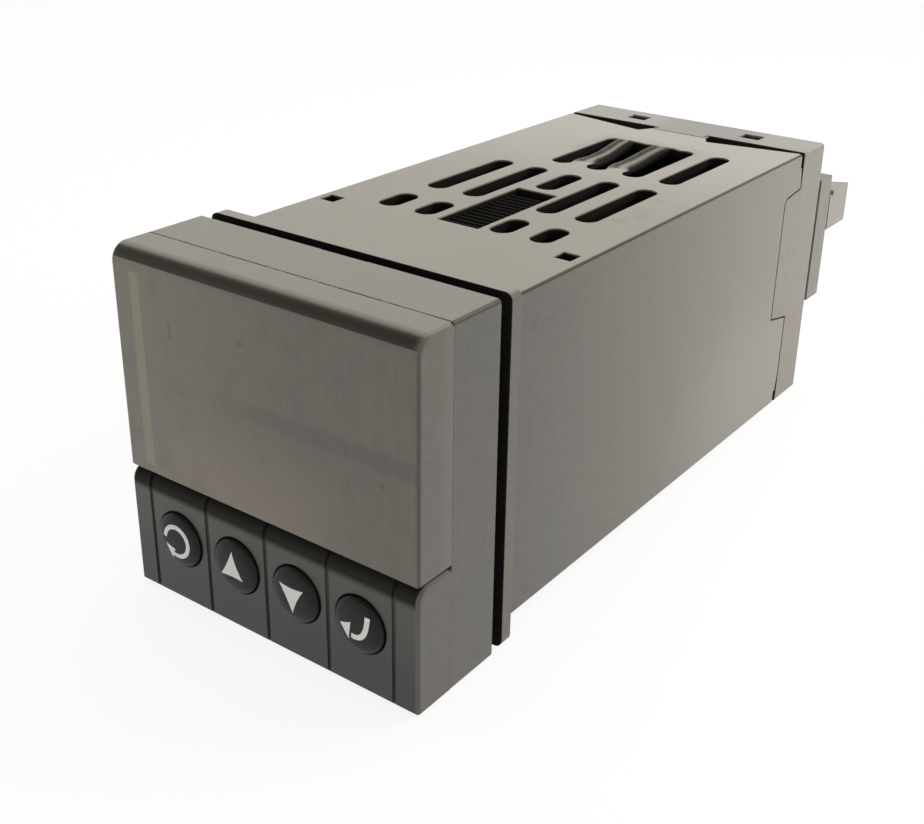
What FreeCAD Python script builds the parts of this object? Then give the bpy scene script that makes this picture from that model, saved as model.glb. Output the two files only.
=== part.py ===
import FreeCAD, Part
import math
import os

"""A 48 by 48 mm panel-mounted PID temperature controller, in millimetres.

The origin is the centre of the bezel's rear face, which lies on the panel.
+X is to the right seen from the front, +Y runs through the panel to the rear, +Z is up.
"""

# ---- front: bezel, lens and keypad block -------------------------------------------
bezel_width = 48.0
front_depth = 14.7          # the front face stands this far ahead of the panel
bezel_corner = 0.6
bezel_wall = 2.2            # round the front cavity
front_wall = 1.6
keypad_height = 17.4        # from the bezel's lower edge
lens_depth = 6.1
lens_wall = 1.5
lens_top_round = 2.2
lens_edge_break = 0.45
lens_seat_gap = 0.1         # between the lens and the keypad block under it
lip_depth = 1.4
rim_depth = 1.0             # inner rim that carries the lip
rim_lap = 0.4               # the rim runs this far into the lens's walls
lip_wall = 1.2
lip_clearance = 0.15
cavity_corner = 0.3
keypad_top_round = 1.9
keypad_edge_break = 0.35
groove_width = 0.6
groove_depth = 0.28
cavity_floor = 1.7          # wall between the front cavity and the panel face
weld = 0.5                  # pieces of one moulding run this far into each other
over = 1.0                  # cutters run this far past what they cut

# ---- keys ------------------------------------------------------------------------
key_count = 4
key_margin = 3.6            # strip left at each end of the row of keys
key_row_height = 9.45       # centre of the keys above the bezel's lower edge
key_hole_radius = 3.98
key_gap = 0.2
key_rise = 0.85
key_crown_radius = 2.6
key_shoulder = 0.15         # the dome's foot stands this far out of its hole
key_flange_size = 8.6
key_flange_thickness = 1.0
key_seat_gap = 0.15
key_stem_size = 3.6
key_travel = 0.7
key_end_gap = 0.1           # left at the end of the travel
key_names = ("menu_button", "up_button", "down_button", "enter_button")

# ---- case tube, panel collar and ratchet racks ---------------------------------------
case_wall = 1.6
case_corner = 1.2
case_rear_y = 93.1
cutout_margin = 3.0         # the bezel is this much wider than the 45 mm cut-out
collar_clearance = 0.4      # in all, between the collar and the cut-out
collar_depth = 0.9
tooth_pitch = 1.27
tooth_count = 20
tooth_front_y = 15.3
tooth_height = 0.6
tooth_crest = (0.15, 0.45)  # where a tooth's flat tip starts and ends, in pitches
rack_half_width = 3.3
rack_tip_clearance = 0.15
guide_width = 1.0
guide_thickness = 0.8
guide_lap = 0.3             # the guides run this far into the case's walls
guide_front_y = 4.0
guide_rear_y = 84.0
case_vent_margin = 0.4      # the case's air slots are this much larger than the sleeve's
relief_depth = 0.8          # channel in the case's roof from its wide vent to the rear

# ---- retainer sleeve -----------------------------------------------------------------
panel_gap = 2.1
flange_inset = 0.1          # the flange is this much narrower than the bezel
flange_thickness = 2.0
flange_corner = 1.0
sleeve_width_gap = 0.5      # in all, between the sleeve's sides and the cut-out's size
sleeve_height_gap = 0.3
sleeve_wall = 1.4
sleeve_corner = 0.6
slide_clearance = 0.2
vent_x = 0.65               # the vents stand this far off the middle
rack_x = 1.0                # and the rack with its window this far
slot_width = 3.5
slot_pitch = 6.32
front_slot_y = (22.75, 29.5)
long_slot_y = (33.75, 53.15)
short_slot_y = (43.25, 52.85)
rear_slot_y = (57.25, 76.6)
window_half_width = 3.45
window_y = (22.4, 41.8)
channel_roof = 0.5          # roof left over the rack in front of the window
corner_hole_inset = 2.75
corner_hole_y = 20.6
corner_hole_size = 2.6

# ---- heat-sagged webs between the rear slots -----------------------------------------
sag_front_y = 60.2
sag_rear_y = 76.5
web_overlap = 1.3           # the webs run this far into the roof at both ends
web_thickness = 1.05
web_seat = 0.04             # their ends lie this far below the roof's face
web_waist = 0.1             # share of the width lost half way
web_slump = 0.75            # share of the thickness that the right-hand edge loses half way
web_stations = (0, 0.16, 0.32, 0.48, 0.64, 0.8, 0.92, 1)
web_shapes = (              # side, sink, sideways drift half way and at the rear, twist
    (-1, 0.7, -1.3, -1.9, -14),
    (1, 0.8, -1.9, -1.2, -18),
)
right_tear = (              # from the rightmost sagged slot's side and the opening's front
    (-0.8, 1.0), (-1.4, 6.0), (-1.7, 12.0), (-0.9, 13.6), (-0.3, 15.0),
)
rear_tear = (               # from the middle of the vents and the opening's rear
    (6.4, -0.6), (3.6, 0.3), (0.4, -0.3), (-3.4, 0.2), (-6.4, 0.0),
)

# ---- seam between sleeve and rear cover ----------------------------------------------
seam_y = 88.0
seam_gap = 0.3
side_tongue_front_y = 82.4
side_tongue_top_z = (15.6, 16.3)      # at its front and at the seam
side_tongue_bottom_z = (-4.9, -6.1)
side_tongue_round = 1.0
roof_tongue_half_width = 4.6
roof_tongue_front_y = 86.7
notch_front_y = 84.1
notch_inner_x = 5.0
notch_slant = 1.5
corner_relief = 0.7         # the sleeve's rear edge draws back this far at its corners

# ---- rear cover ----------------------------------------------------------------------
cover_rear_y = 96.3
cover_back = 1.8
latch_window_x = 10.9
latch_window_width = 3.6
latch_window_y = (90.9, 93.6)

# ---- terminal headers and plugs --------------------------------------------------------
way_pitch = 3.5
header_ways = 5
header_first_z = -5.0       # lower edge of the first way
header_front_y = 97.75
header_depth = 5.1
header_inset = 0.2          # from the sleeve's side
header_width = 9.05
header_edge_break = 0.35
header_low_wall = 1.15
header_high_wall = 3.05
header_side_wall = 1.2
header_floor = 1.0
neck_inset = 3.35           # from the header's side
neck_width = 5.3
neck_wall = 0.6
neck_front_y = 89.6
neck_clearance = 0.1
pin_base_depth = 0.8
pin_size = 0.8
pin_gap = 0.2
pin_tip_gap = 0.6
plug_clearance = 0.15
plug_nose_gap = 0.4
plug_rear_y = 110.95
plug_shoulder_y = 107.1
plug_face_width = 6.05
plug_width = 9.45
plug_bore_run = 1.5         # the pin bores run this far past the plug's front face
plug_face_gap = 0.1
plug_notch = (1.3, 0.8)
wire_entry_size = 2.4
wire_entry_depth = 5.0
well_radius = 1.3
well_depth = 1.6
screw_radius = 1.15
screw_head = 0.9
right_plug_ways = (3, 2)    # first way and number of ways
left_plug_ways = (1, 2)

# ---- boards and what they carry ---------------------------------------------------------
board_thickness = 1.6
board_edge_gap = 0.15
board_side_gap = 0.5        # between the display board and the front cavity's walls
display_board_y = -5.0      # its front face
boss_size = 3.0
main_board_drop = 15.15     # its lower face below the case's inner roof
power_board_rise = 4.55     # its lower face above the case's inner floor
deck_front_y = -1.2
deck_rear_y = 85.7
rear_board_y = 86.0
rear_board_margin = 2.15
mat_thickness = 1.2
mat_margin = 1.6
mat_hole_gap = 0.8
digit_side_gap = 3.3        # between the digits and the spacer
digit_gap = 0.5             # between, above and below the two digit modules
digit_depth = 6.6
digit_rim = 0.6
digit_recess = 0.25
spacer_wall = 1.0
led_size = (2.0, 4.6, 1.8)
led_inset = 1.3             # their centre from the spacer
led_pitch = 3.0
strip_width = 1.6
strip_gap = 0.15
link_height = 2.5
link_depth = 2.4
link_width = 26.0
core_width = 14.0
core_length = 24.0
core_top_gap = 0.8          # under the main board
core_leg = 3.6
core_foot = 2.0
core_y = 30.0
winding_gap = 0.25
winding_swell = 4.0
winding_edge_break = 1.5
relay_width = 10.2
relay_length = 20.2
relay_top_gap = 0.55        # under the case's roof
relay_x = 9.5
relay_y = 24.0
relay_pin_pitch = 8.0
relay_pin_width = 0.8
relay_pin_inset = 1.0
capacitor_radius = 5.0
capacitor_length = 18.0
capacitor_y = 57.0
capacitor_x = 8.0
small_capacitor_radius = 4.0
small_capacitor_length = 12.0
chip_size = (14.0, 14.0, 1.6)
chip_y = 62.0
foot_height = 0.4


def box(x, y, z):
    """A block between two limits along each axis."""
    corner = FreeCAD.Vector(min(x), min(y), min(z))
    return Part.makeBox(abs(x[1] - x[0]), abs(y[1] - y[0]), abs(z[1] - z[0]), corner)


def centred(x, y, z, size):
    """A block of the given size about a centre."""
    return box((x - size[0] / 2, x + size[0] / 2),
               (y - size[1] / 2, y + size[1] / 2),
               (z - size[2] / 2, z + size[2] / 2))


def rounded_bar(width, height, radius, y):
    """A bar along Y whose cross-section is a rectangle with round corners."""
    w = width / 2
    h = height / 2
    k = radius * (1 - math.sqrt(0.5))
    y0 = y[0]
    at = lambda px, pz: FreeCAD.Vector(px, y0, pz)
    edges = [
        Part.makeLine(at(-w + radius, -h), at(w - radius, -h)),
        Part.Arc(at(w - radius, -h), at(w - k, -h + k), at(w, -h + radius)).toShape(),
        Part.makeLine(at(w, -h + radius), at(w, h - radius)),
        Part.Arc(at(w, h - radius), at(w - k, h - k), at(w - radius, h)).toShape(),
        Part.makeLine(at(w - radius, h), at(-w + radius, h)),
        Part.Arc(at(-w + radius, h), at(-w + k, h - k), at(-w, h - radius)).toShape(),
        Part.makeLine(at(-w, h - radius), at(-w, -h + radius)),
        Part.Arc(at(-w, -h + radius), at(-w + k, -h + k), at(-w + radius, -h)).toShape(),
    ]
    return Part.Face(Part.Wire(edges)).extrude(FreeCAD.Vector(0, y[1] - y[0], 0))


def prism(points, direction):
    """A polygon of corner points, extruded."""
    corners = [FreeCAD.Vector(*p) for p in points]
    return Part.Face(Part.makePolygon(corners + corners[:1])).extrude(FreeCAD.Vector(*direction))


def side_prism(points, x):
    """A polygon of (y, z) points, extruded along X between two limits."""
    return prism([(x[0], y, z) for y, z in points], (x[1] - x[0], 0, 0))


def roof_prism(points, z):
    """A polygon of (x, y) points, extruded along Z between two limits."""
    return prism([(x, y, z[0]) for x, y in points], (0, 0, z[1] - z[0]))


def slot(x, y, z, width):
    """A vertical cutter with round ends, centred on x and as long as y says."""
    r = width / 2
    middle = box((x - r, x + r), (y[0] + r, y[1] - r), z)
    height = abs(z[1] - z[0])
    ends = [Part.makeCylinder(r, height, FreeCAD.Vector(x, yy, min(z)))
            for yy in (y[0] + r, y[1] - r)]
    return middle.fuse(ends).removeSplitter()


def both_faces(shape):
    """The shape and its mirror image in the horizontal mid-plane."""
    return [shape, shape.mirror(FreeCAD.Vector(0, 0, 0), FreeCAD.Vector(0, 0, 1))]


def both_sides(shape):
    """The shape and its mirror image in the vertical mid-plane."""
    return [shape, shape.mirror(FreeCAD.Vector(0, 0, 0), FreeCAD.Vector(1, 0, 0))]


def on_side(shape, side):
    """The shape as made for +X, mirrored where side is -1."""
    return both_sides(shape)[0 if side > 0 else 1]


def round_edges(shape, radius, wanted):
    """Fillet every edge whose centre meets a test."""
    edges = [e for e in shape.Edges if wanted(e.CenterOfMass)]
    return shape.makeFillet(radius, edges)


def near(value, target):
    """Whether a coordinate is at a target, within rounding."""
    return abs(value - target) < 1e-4


def break_edges(shape, size, wanted):
    """Chamfer every edge whose centre meets a test."""
    edges = [e for e in shape.Edges if wanted(e.CenterOfMass)]
    return shape.makeChamfer(size, edges)


# ---- sizes that follow from those above --------------------------------------------------
front_y = -front_depth
lens_rear_y = front_y + lens_depth
half_bezel = bezel_width / 2
keypad_top_z = -half_bezel + keypad_height
lens_bottom_z = keypad_top_z + lens_seat_gap
front_cavity_width = bezel_width - 2 * bezel_wall
panel_cutout = bezel_width - cutout_margin
collar_width = panel_cutout - collar_clearance
flange_width = bezel_width - flange_inset
sleeve_width = panel_cutout - sleeve_width_gap
sleeve_height = panel_cutout - sleeve_height_gap
sleeve_inner_width = sleeve_width - 2 * sleeve_wall
sleeve_inner_height = sleeve_height - 2 * sleeve_wall
case_width = sleeve_inner_width - 2 * slide_clearance
case_height = sleeve_inner_height - 2 * slide_clearance
case_inner_width = case_width - 2 * case_wall
case_inner_height = case_height - 2 * case_wall
case_top_z = case_height / 2
sleeve_top_z = sleeve_height / 2
channel_top_z = sleeve_top_z - channel_roof
tooth_tip_z = channel_top_z - rack_tip_clearance
corner_hole_x = sleeve_width / 2 - corner_hole_inset
notch_outer_x = sleeve_width / 2 + over
key_pitch = (bezel_width - 2 * key_margin) / key_count
key_z = -half_bezel + key_row_height
key_xs = [(i - (key_count - 1) / 2) * key_pitch for i in range(key_count)]
key_wall_y = front_y + front_wall
display_board_back_y = display_board_y + board_thickness
display_board_width = front_cavity_width - 2 * board_side_gap
spacer_outer = front_cavity_width / 2 - 2 * lip_clearance - lip_wall
spacer_inner = spacer_outer - spacer_wall
spacer_outer_low_z = lens_bottom_z + lens_wall + lip_wall + lip_clearance
spacer_low_z = spacer_outer_low_z + spacer_wall
digit_width = 2 * (spacer_inner - digit_side_gap)
digit_height = (spacer_inner - spacer_low_z - 3 * digit_gap) / 2
upper_digit_z = spacer_inner - digit_gap - digit_height / 2
lower_digit_z = spacer_low_z + digit_gap + digit_height / 2
led_x = led_inset - spacer_inner
main_board_z = case_inner_height / 2 - main_board_drop
power_board_z = power_board_rise - case_inner_height / 2
core_height = main_board_z - power_board_z - board_thickness - foot_height - core_top_gap
relay_height = main_board_drop - board_thickness - foot_height - relay_top_gap
rear_board_height = case_inner_height - 2 * rear_board_margin
header_outer_x = sleeve_width / 2 - header_inset
header_inner_x = header_outer_x - header_width
neck_outer_x = header_outer_x - neck_inset
neck_inner_x = neck_outer_x - neck_width
plug_slant_x = header_outer_x - plug_face_width
plug_inner_x = header_outer_x - plug_width
header_low_z = header_first_z - header_low_wall
header_high_z = header_first_z + header_ways * way_pitch + header_high_wall
header_rear_y = header_front_y + header_depth
header_floor_y = header_front_y + header_floor
way_zs = [header_first_z + (i + 0.5) * way_pitch for i in range(header_ways)]
pin_x = (neck_outer_x + neck_inner_x) / 2
through = (-bezel_width, bezel_width)
wide_face_z = (sleeve_inner_height / 2 - over, sleeve_top_z + over)


def keypad_profile(inset):
    """The keypad block seen from the side, with its rounded top front edge, shrunk by an inset."""
    y = front_y + inset
    r = keypad_top_round - inset
    top = keypad_top_z - inset
    k = r * (1 - math.sqrt(0.5))
    at = lambda py, pz: FreeCAD.Vector(-half_bezel, py, pz)
    edges = [
        Part.makeLine(at(lens_rear_y, -half_bezel), at(y, -half_bezel)),
        Part.makeLine(at(y, -half_bezel), at(y, top - r)),
        Part.Arc(at(y, top - r), at(y + k, top - k), at(y + r, top)).toShape(),
        Part.makeLine(at(y + r, top), at(lens_rear_y, top)),
        Part.makeLine(at(lens_rear_y, top), at(lens_rear_y, -half_bezel)),
    ]
    return Part.Face(Part.Wire(edges)).extrude(FreeCAD.Vector(bezel_width, 0, 0))


def keypad_block():
    """The lower front of the bezel: rounded edges, grooves between the keys, key holes."""
    block = keypad_profile(0)
    ends = lambda p: near(abs(p.x), half_bezel) and not near(p.y, lens_rear_y)
    lower = lambda p: near(p.z, -half_bezel) and near(p.y, front_y)
    block = break_edges(block, keypad_edge_break, lambda p: ends(p) or lower(p))
    skin = keypad_profile(0).cut(keypad_profile(groove_depth))
    grooves = []
    for i in range(key_count + 1):
        x = (i - key_count / 2) * key_pitch
        strip = box((x - groove_width / 2, x + groove_width / 2), through, through)
        grooves.append(skin.common(strip))
    holes = [Part.makeCylinder(key_hole_radius, 2 * front_wall,
                               FreeCAD.Vector(x, front_y - weld, key_z), FreeCAD.Vector(0, 1, 0))
             for x in key_xs]
    w = front_cavity_width / 2
    cavity = box((-w, w), (key_wall_y, lens_rear_y + weld), (-w, keypad_top_z - front_wall))
    return block.cut(grooves).cut(cavity).cut(holes)


def tooth_rack():
    """Ratchet teeth on the case: a ramp to the rear and a steep face to the front of each."""
    root = tooth_tip_z - tooth_height
    points = [(tooth_front_y, case_top_z - weld)]
    for i in range(tooth_count):
        y = tooth_front_y + i * tooth_pitch
        points.append((y, root))
        points += [(y + share * tooth_pitch, tooth_tip_z) for share in tooth_crest]
    rear = tooth_front_y + tooth_count * tooth_pitch
    points.append((rear, root))
    points.append((rear, case_top_z - weld))
    return side_prism(points, (rack_x - rack_half_width, rack_x + rack_half_width))


def case_vents():
    """Cutters for the case's own air slots, which lie under those of the sleeve."""
    z = (case_inner_height / 2 - over, case_top_z + over)
    half = slot_width / 2 + case_vent_margin
    long_y = (front_slot_y[0] - case_vent_margin, long_slot_y[1] + case_vent_margin)
    short_y = (short_slot_y[0] - case_vent_margin, short_slot_y[1] + case_vent_margin)
    rear_y = (rear_slot_y[0] - case_vent_margin, rear_slot_y[1] + 2 * case_vent_margin)
    cutters = [box((vent_x - half, vent_x + half), short_y, z)]
    for column in (-2, -1, 1, 2):
        x = vent_x + column * slot_pitch
        cutters.append(box((x - half, x + half), long_y, z))
    for x in (vent_x - 2 * slot_pitch, vent_x + 2 * slot_pitch):
        cutters.append(box((x - half, x + half), rear_y, z))
    wide_x = (vent_x - slot_pitch - half, vent_x + slot_pitch + half)
    cutters.append(box(wide_x, rear_y, z))
    relief_z = (case_top_z - relief_depth, case_top_z + over)
    cutters.append(box(wide_x, (rear_y[1] - over, case_rear_y + over), relief_z))
    return cutters


def board_guides():
    """Pairs of rails on both side walls, which hold the two long boards."""
    rails = []
    for low in (main_board_z, power_board_z):
        for z in (low - board_edge_gap - guide_thickness, low + board_thickness + board_edge_gap):
            outer = case_inner_width / 2 + guide_lap
            inner = case_inner_width / 2 - guide_width
            rail = box((inner, outer), (guide_front_y, guide_rear_y), (z, z + guide_thickness))
            rails += both_sides(rail)
    return rails


def case_housing():
    """Bezel, keypad block, panel collar, case tube, racks and guides: one moulding."""
    frame = rounded_bar(bezel_width, bezel_width, bezel_corner, (lens_rear_y, 0))
    collar = rounded_bar(collar_width, collar_width, case_corner, (0, collar_depth))
    tube = rounded_bar(case_width, case_height, case_corner, (0, case_rear_y))
    body = frame.fuse([collar, tube, *both_faces(tooth_rack())])
    w = front_cavity_width
    floor_y = -cavity_floor
    body = body.cut(rounded_bar(w, w, cavity_corner, (lens_rear_y - over, floor_y)))
    inner = rounded_bar(case_inner_width, case_inner_height, case_corner / 2,
                        (floor_y - over, case_rear_y + over))
    body = body.cut(inner)
    cutters = []
    for cutter in case_vents():
        cutters += both_faces(cutter)
    body = body.cut(cutters)
    boss_at = w / 2 - boss_size / 2
    bosses = []
    for z in (-boss_at, boss_at):
        boss = box((w / 2 - boss_size, w / 2), (display_board_back_y, floor_y + weld),
                   (z - boss_size / 2, z + boss_size / 2))
        bosses += both_sides(boss)
    return body.fuse([keypad_block(), *bosses, *board_guides()]).removeSplitter()


def display_lens():
    """A thick smoked cap over the display, hollow from behind, with a lip that enters the bezel."""
    r = lens_top_round
    k = r * (1 - math.sqrt(0.5))
    at = lambda py, pz: FreeCAD.Vector(-half_bezel, py, pz)
    edges = [
        Part.makeLine(at(lens_rear_y, lens_bottom_z), at(front_y, lens_bottom_z)),
        Part.makeLine(at(front_y, lens_bottom_z), at(front_y, half_bezel - r)),
        Part.Arc(at(front_y, half_bezel - r), at(front_y + k, half_bezel - k),
                 at(front_y + r, half_bezel)).toShape(),
        Part.makeLine(at(front_y + r, half_bezel), at(lens_rear_y, half_bezel)),
        Part.makeLine(at(lens_rear_y, half_bezel), at(lens_rear_y, lens_bottom_z)),
    ]
    block = Part.Face(Part.Wire(edges)).extrude(FreeCAD.Vector(bezel_width, 0, 0))
    ends = lambda p: near(abs(p.x), half_bezel) and not near(p.y, lens_rear_y)
    lower = lambda p: near(p.z, lens_bottom_z) and near(p.y, front_y)
    block = break_edges(block, lens_edge_break, lambda p: ends(p) or lower(p))
    w = half_bezel - lens_wall
    hollow = box((-w, w), (front_y + lens_wall, lens_rear_y), (lens_bottom_z + lens_wall, w))
    outer = front_cavity_width / 2 - lip_clearance
    low = lens_bottom_z + lens_wall
    lip_y = (lens_rear_y, lens_rear_y + lip_depth)
    lip = box((-outer, outer), lip_y, (low - rim_lap, outer))
    inner = outer - lip_wall
    lip = lip.cut(box((-inner, inner), lip_y, (low + lip_wall, inner)))
    rim_y = (lens_rear_y - rim_depth, lens_rear_y)
    rim = box((-w - rim_lap, w + rim_lap), rim_y, (low - rim_lap, w + rim_lap))
    rim = rim.cut(box((-inner, inner), rim_y, (low + lip_wall, inner)))
    return block.cut(hollow).fuse([rim, lip]).removeSplitter()


def key(x):
    """A domed key: crown, barrel in its hole, square flange behind the wall, square stem."""
    r = key_hole_radius - key_gap
    flange_y = key_wall_y + key_seat_gap
    stem_y = display_board_y - key_travel - key_end_gap
    crown = front_y - key_rise
    profile = [(0, crown), (key_crown_radius, crown), (r, front_y - key_shoulder),
               (r, flange_y + key_flange_thickness / 2),
               (0, flange_y + key_flange_thickness / 2), (0, crown)]
    points = [FreeCAD.Vector(x + pr, py, key_z) for pr, py in profile]
    dome = Part.Face(Part.makePolygon(points))
    dome = dome.revolve(FreeCAD.Vector(x, 0, key_z), FreeCAD.Vector(0, 1, 0), 360)
    half = key_flange_size / 2
    flange = box((x - half, x + half), (flange_y, flange_y + key_flange_thickness),
                 (key_z - half, key_z + half))
    half = key_stem_size / 2
    stem = box((x - half, x + half), (flange_y, stem_y), (key_z - half, key_z + half))
    return dome.fuse([flange, stem]).removeSplitter()


def keypad_mat():
    """The elastomer sheet on the display board, open round each stem."""
    w = display_board_width / 2 - mat_margin
    y = (display_board_y - mat_thickness, display_board_y)
    sheet = box((-w, w), y, (-w, keypad_top_z - front_wall))
    half = key_stem_size / 2 + mat_hole_gap
    holes = [box((x - half, x + half), y, (key_z - half, key_z + half)) for x in key_xs]
    return sheet.cut(holes)


def display_board():
    """The front board, which carries the digits, the indicators and the key contacts."""
    return box((-display_board_width / 2, display_board_width / 2),
               (display_board_y, display_board_back_y),
               (-display_board_width / 2, display_board_width / 2))


def digits(z):
    """A four-digit module: a block with a shallow recessed face."""
    y = display_board_y - digit_depth / 2
    block = centred(0, y, z, (digit_width, digit_depth, digit_height))
    face = centred(0, display_board_y - digit_depth, z,
                   (digit_width - 2 * digit_rim, 2 * digit_recess, digit_height - 2 * digit_rim))
    return block.cut(face)


def alarm_leds():
    """Three flat indicators beside the digits."""
    return Part.makeCompound([centred(led_x, display_board_y - led_size[1] / 2,
                                      upper_digit_z + step * led_pitch, led_size)
                              for step in (1, 0, -1)])


def display_spacer():
    """A pale moulded frame round the digits, between the board and the lens."""
    y = (front_y + lens_wall + lip_clearance, display_board_y)
    ring = box((-spacer_outer, spacer_outer), y, (spacer_outer_low_z, spacer_outer))
    return ring.cut(box((-spacer_inner, spacer_inner), y, (spacer_low_z, spacer_inner)))


def light_strip():
    """The pale sealing strip inside the lens, along its left wall."""
    outer = half_bezel - lens_wall - strip_gap
    y = (front_y + lens_wall + strip_gap, lens_rear_y - rim_depth - strip_gap)
    low = lens_bottom_z + lens_wall + strip_gap
    return box((-outer, -outer + strip_width), y, (low, half_bezel - lens_top_round))


def deck(z, rear_y):
    """A long board in the case's guides."""
    w = case_inner_width / 2 - board_edge_gap
    return box((-w, w), (deck_front_y, rear_y), (z, z + board_thickness))


def link(board_z):
    """A pin strip on a long board, with its angled pins, that meets the display board."""
    top = board_z + board_thickness
    half = link_width / 2
    return box((-half, half), (display_board_back_y, deck_front_y + link_depth),
               (top, top + link_height))


def rear_board():
    """The board across the rear of the decks, which carries the terminal pins."""
    w = case_inner_width / 2 - board_edge_gap
    h = rear_board_height / 2
    return box((-w, w), (rear_board_y, rear_board_y + board_thickness), (-h, h))


def transformer_core():
    """A laminated shell core: two windows round the middle leg."""
    bottom = power_board_z + board_thickness
    z = bottom + foot_height + core_height / 2
    core = centred(0, core_y, z, (core_width, core_length, core_height))
    opening = (core_length - 3 * core_leg) / 2
    for side in (-1, 1):
        y = core_y + side * (core_leg + opening) / 2
        core = core.cut(centred(0, y, z, (core_width, opening, core_height - 2 * core_leg)))
    feet = [centred(0, core_y + side * (core_length - core_foot) / 2, bottom + foot_height / 2,
                    (core_width, core_foot, foot_height)) for side in (-1, 1)]
    return core.fuse(feet).removeSplitter()


def transformer_winding():
    """The coil on the middle leg, which bulges out of both sides of the core."""
    z = power_board_z + board_thickness + foot_height + core_height / 2
    opening = (core_length - 3 * core_leg) / 2
    x_size = core_width + 2 * winding_swell
    y_size = core_leg + 2 * (opening - winding_gap)
    coil = centred(0, core_y, z, (x_size, y_size, core_height - 2 * core_leg - 2 * winding_gap))
    coil = break_edges(coil, winding_edge_break, lambda p: near(abs(p.x), x_size / 2)
                       and near(abs(p.y - core_y), y_size / 2))
    hole = centred(0, core_y, z,
                   (core_width + 2 * winding_gap, core_leg + 2 * winding_gap, core_height))
    return coil.cut(hole)


def relay(side):
    """A sealed output relay on the main board."""
    x = side * relay_x
    foot_z = main_board_z + board_thickness
    body = centred(x, relay_y, foot_z + foot_height + relay_height / 2,
                   (relay_width, relay_length, relay_height))
    pins = [centred(x, relay_y + step * relay_pin_pitch, foot_z + foot_height / 2,
                    (relay_width - 2 * relay_pin_inset, relay_pin_width, foot_height))
            for step in (-1, 0, 1)]
    return body.fuse(pins).removeSplitter()


def capacitor(x, y, radius, length, z):
    """An electrolytic capacitor lying on a board."""
    return Part.makeCylinder(radius, length, FreeCAD.Vector(x, y, z + radius),
                             FreeCAD.Vector(0, 1, 0))


def processor_chip():
    """The controller chip on the main board."""
    z = main_board_z + board_thickness + chip_size[2] / 2
    return centred(0, chip_y, z, chip_size)


def cover_region(grow):
    """The space that belongs to the rear cover: its rear part, two side and two roof tongues."""
    front = side_tongue_front_y - grow
    seam = seam_y + seam_gap - grow
    run = seam_y + seam_gap - side_tongue_front_y
    top_slope = (side_tongue_top_z[1] - side_tongue_top_z[0]) / run
    low_slope = (side_tongue_bottom_z[1] - side_tongue_bottom_z[0]) / run
    end = seam_y + 2 * over
    at_end = end - side_tongue_front_y
    top = side_tongue_top_z[0] + grow
    low = side_tongue_bottom_z[0] - grow
    tongue = side_prism([(front, low - grow * low_slope), (end, low + at_end * low_slope),
                         (end, top + at_end * top_slope), (front, top - grow * top_slope)],
                        (-half_bezel, half_bezel))
    corner = lambda p: near(p.y, front) and near(p.z, top - grow * top_slope)
    tongue = round_edges(tongue, side_tongue_round + grow, corner)
    roof = box((-roof_tongue_half_width - grow, roof_tongue_half_width + grow),
               (roof_tongue_front_y - grow, end), through)
    rear = box(through, (seam, cover_rear_y), through)
    core = box((over - sleeve_inner_width / 2, sleeve_inner_width / 2 - over),
               (front - over, end),
               (over - sleeve_inner_height / 2, sleeve_inner_height / 2 - over))
    sides = tongue.cut(core)
    return rear.fuse([sides, roof])


def roof_notch():
    """A wedge-shaped opening in the sleeve's rear edge, deep at its inner end."""
    points = [(notch_inner_x, seam_y + over), (notch_inner_x, roof_tongue_front_y),
              (notch_inner_x + notch_slant, notch_front_y),
              (notch_outer_x, seam_y - corner_relief), (notch_outer_x, seam_y + over)]
    return roof_prism(points, wide_face_z)


def side_notch():
    """The rest of the relief: a wedge down the sleeve's side, from its corner to the tongue."""
    points = [(seam_y - corner_relief, wide_face_z[1]), (seam_y - corner_relief, sleeve_top_z),
              (seam_y, side_tongue_top_z[1]), (seam_y + over, side_tongue_top_z[1]),
              (seam_y + over, wide_face_z[1])]
    return side_prism(points, (sleeve_inner_width / 2 - over, sleeve_width / 2 + over))


def rear_slot_columns():
    """Centres of the rear row's slots: the leftmost column has none."""
    return [vent_x + column * slot_pitch for column in (-1, 0, 1, 2)]


def sagged_opening():
    """The opening under the softened webs: three slots run together, torn along the right."""
    left = vent_x - slot_pitch - slot_width / 2
    right = vent_x + slot_pitch + slot_width / 2
    points = [(left, sag_front_y), (right, sag_front_y)]
    points += [(right + x, sag_front_y + y) for x, y in right_tear]
    points += [(vent_x + x, sag_rear_y + y) for x, y in rear_tear]
    points.append((left, sag_rear_y - slot_width / 2))
    return roof_prism(points, wide_face_z)


def web_path(step, drift_middle, drift_rear):
    """Sideways place of a softened web: a smooth curve through its drift half way and at the end."""
    return 4 * step * (1 - step) * drift_middle + step * (2 * step - 1) * drift_rear


def sagged_web(side, sink, drift_middle, drift_rear, twist):
    """A softened web: flush at both ends, sunk, twisted and slumped to one edge between them."""
    half = (slot_pitch - slot_width) / 2
    front = sag_front_y - web_overlap
    run = sag_rear_y + web_overlap - front
    sections = []
    for step in web_stations:
        swell = math.sin(math.pi * step)
        drop = web_slump * swell
        x = vent_x + side * slot_pitch / 2 + web_path(step, drift_middle, drift_rear)
        top = sleeve_top_z - web_seat - sink * swell ** 2
        wide = half * (1 - web_waist * swell)
        angle = math.radians(twist * swell)
        profile = [(-1, -1), (-1, -drop / 2), (-0.4, 0), (0.3, -drop / 8),
                   (0.7, -drop / 2.5), (1, -drop), (1, -1)]
        corners = []
        for across, height in profile:
            a = across * wide
            h = height * web_thickness
            corners.append(FreeCAD.Vector(x + a * math.cos(angle) - h * math.sin(angle),
                                          front + run * step,
                                          top + a * math.sin(angle) + h * math.cos(angle)))
        sections.append(Part.makePolygon(corners + corners[:1]))
    return Part.makeLoft(sections, True, True)


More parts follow.
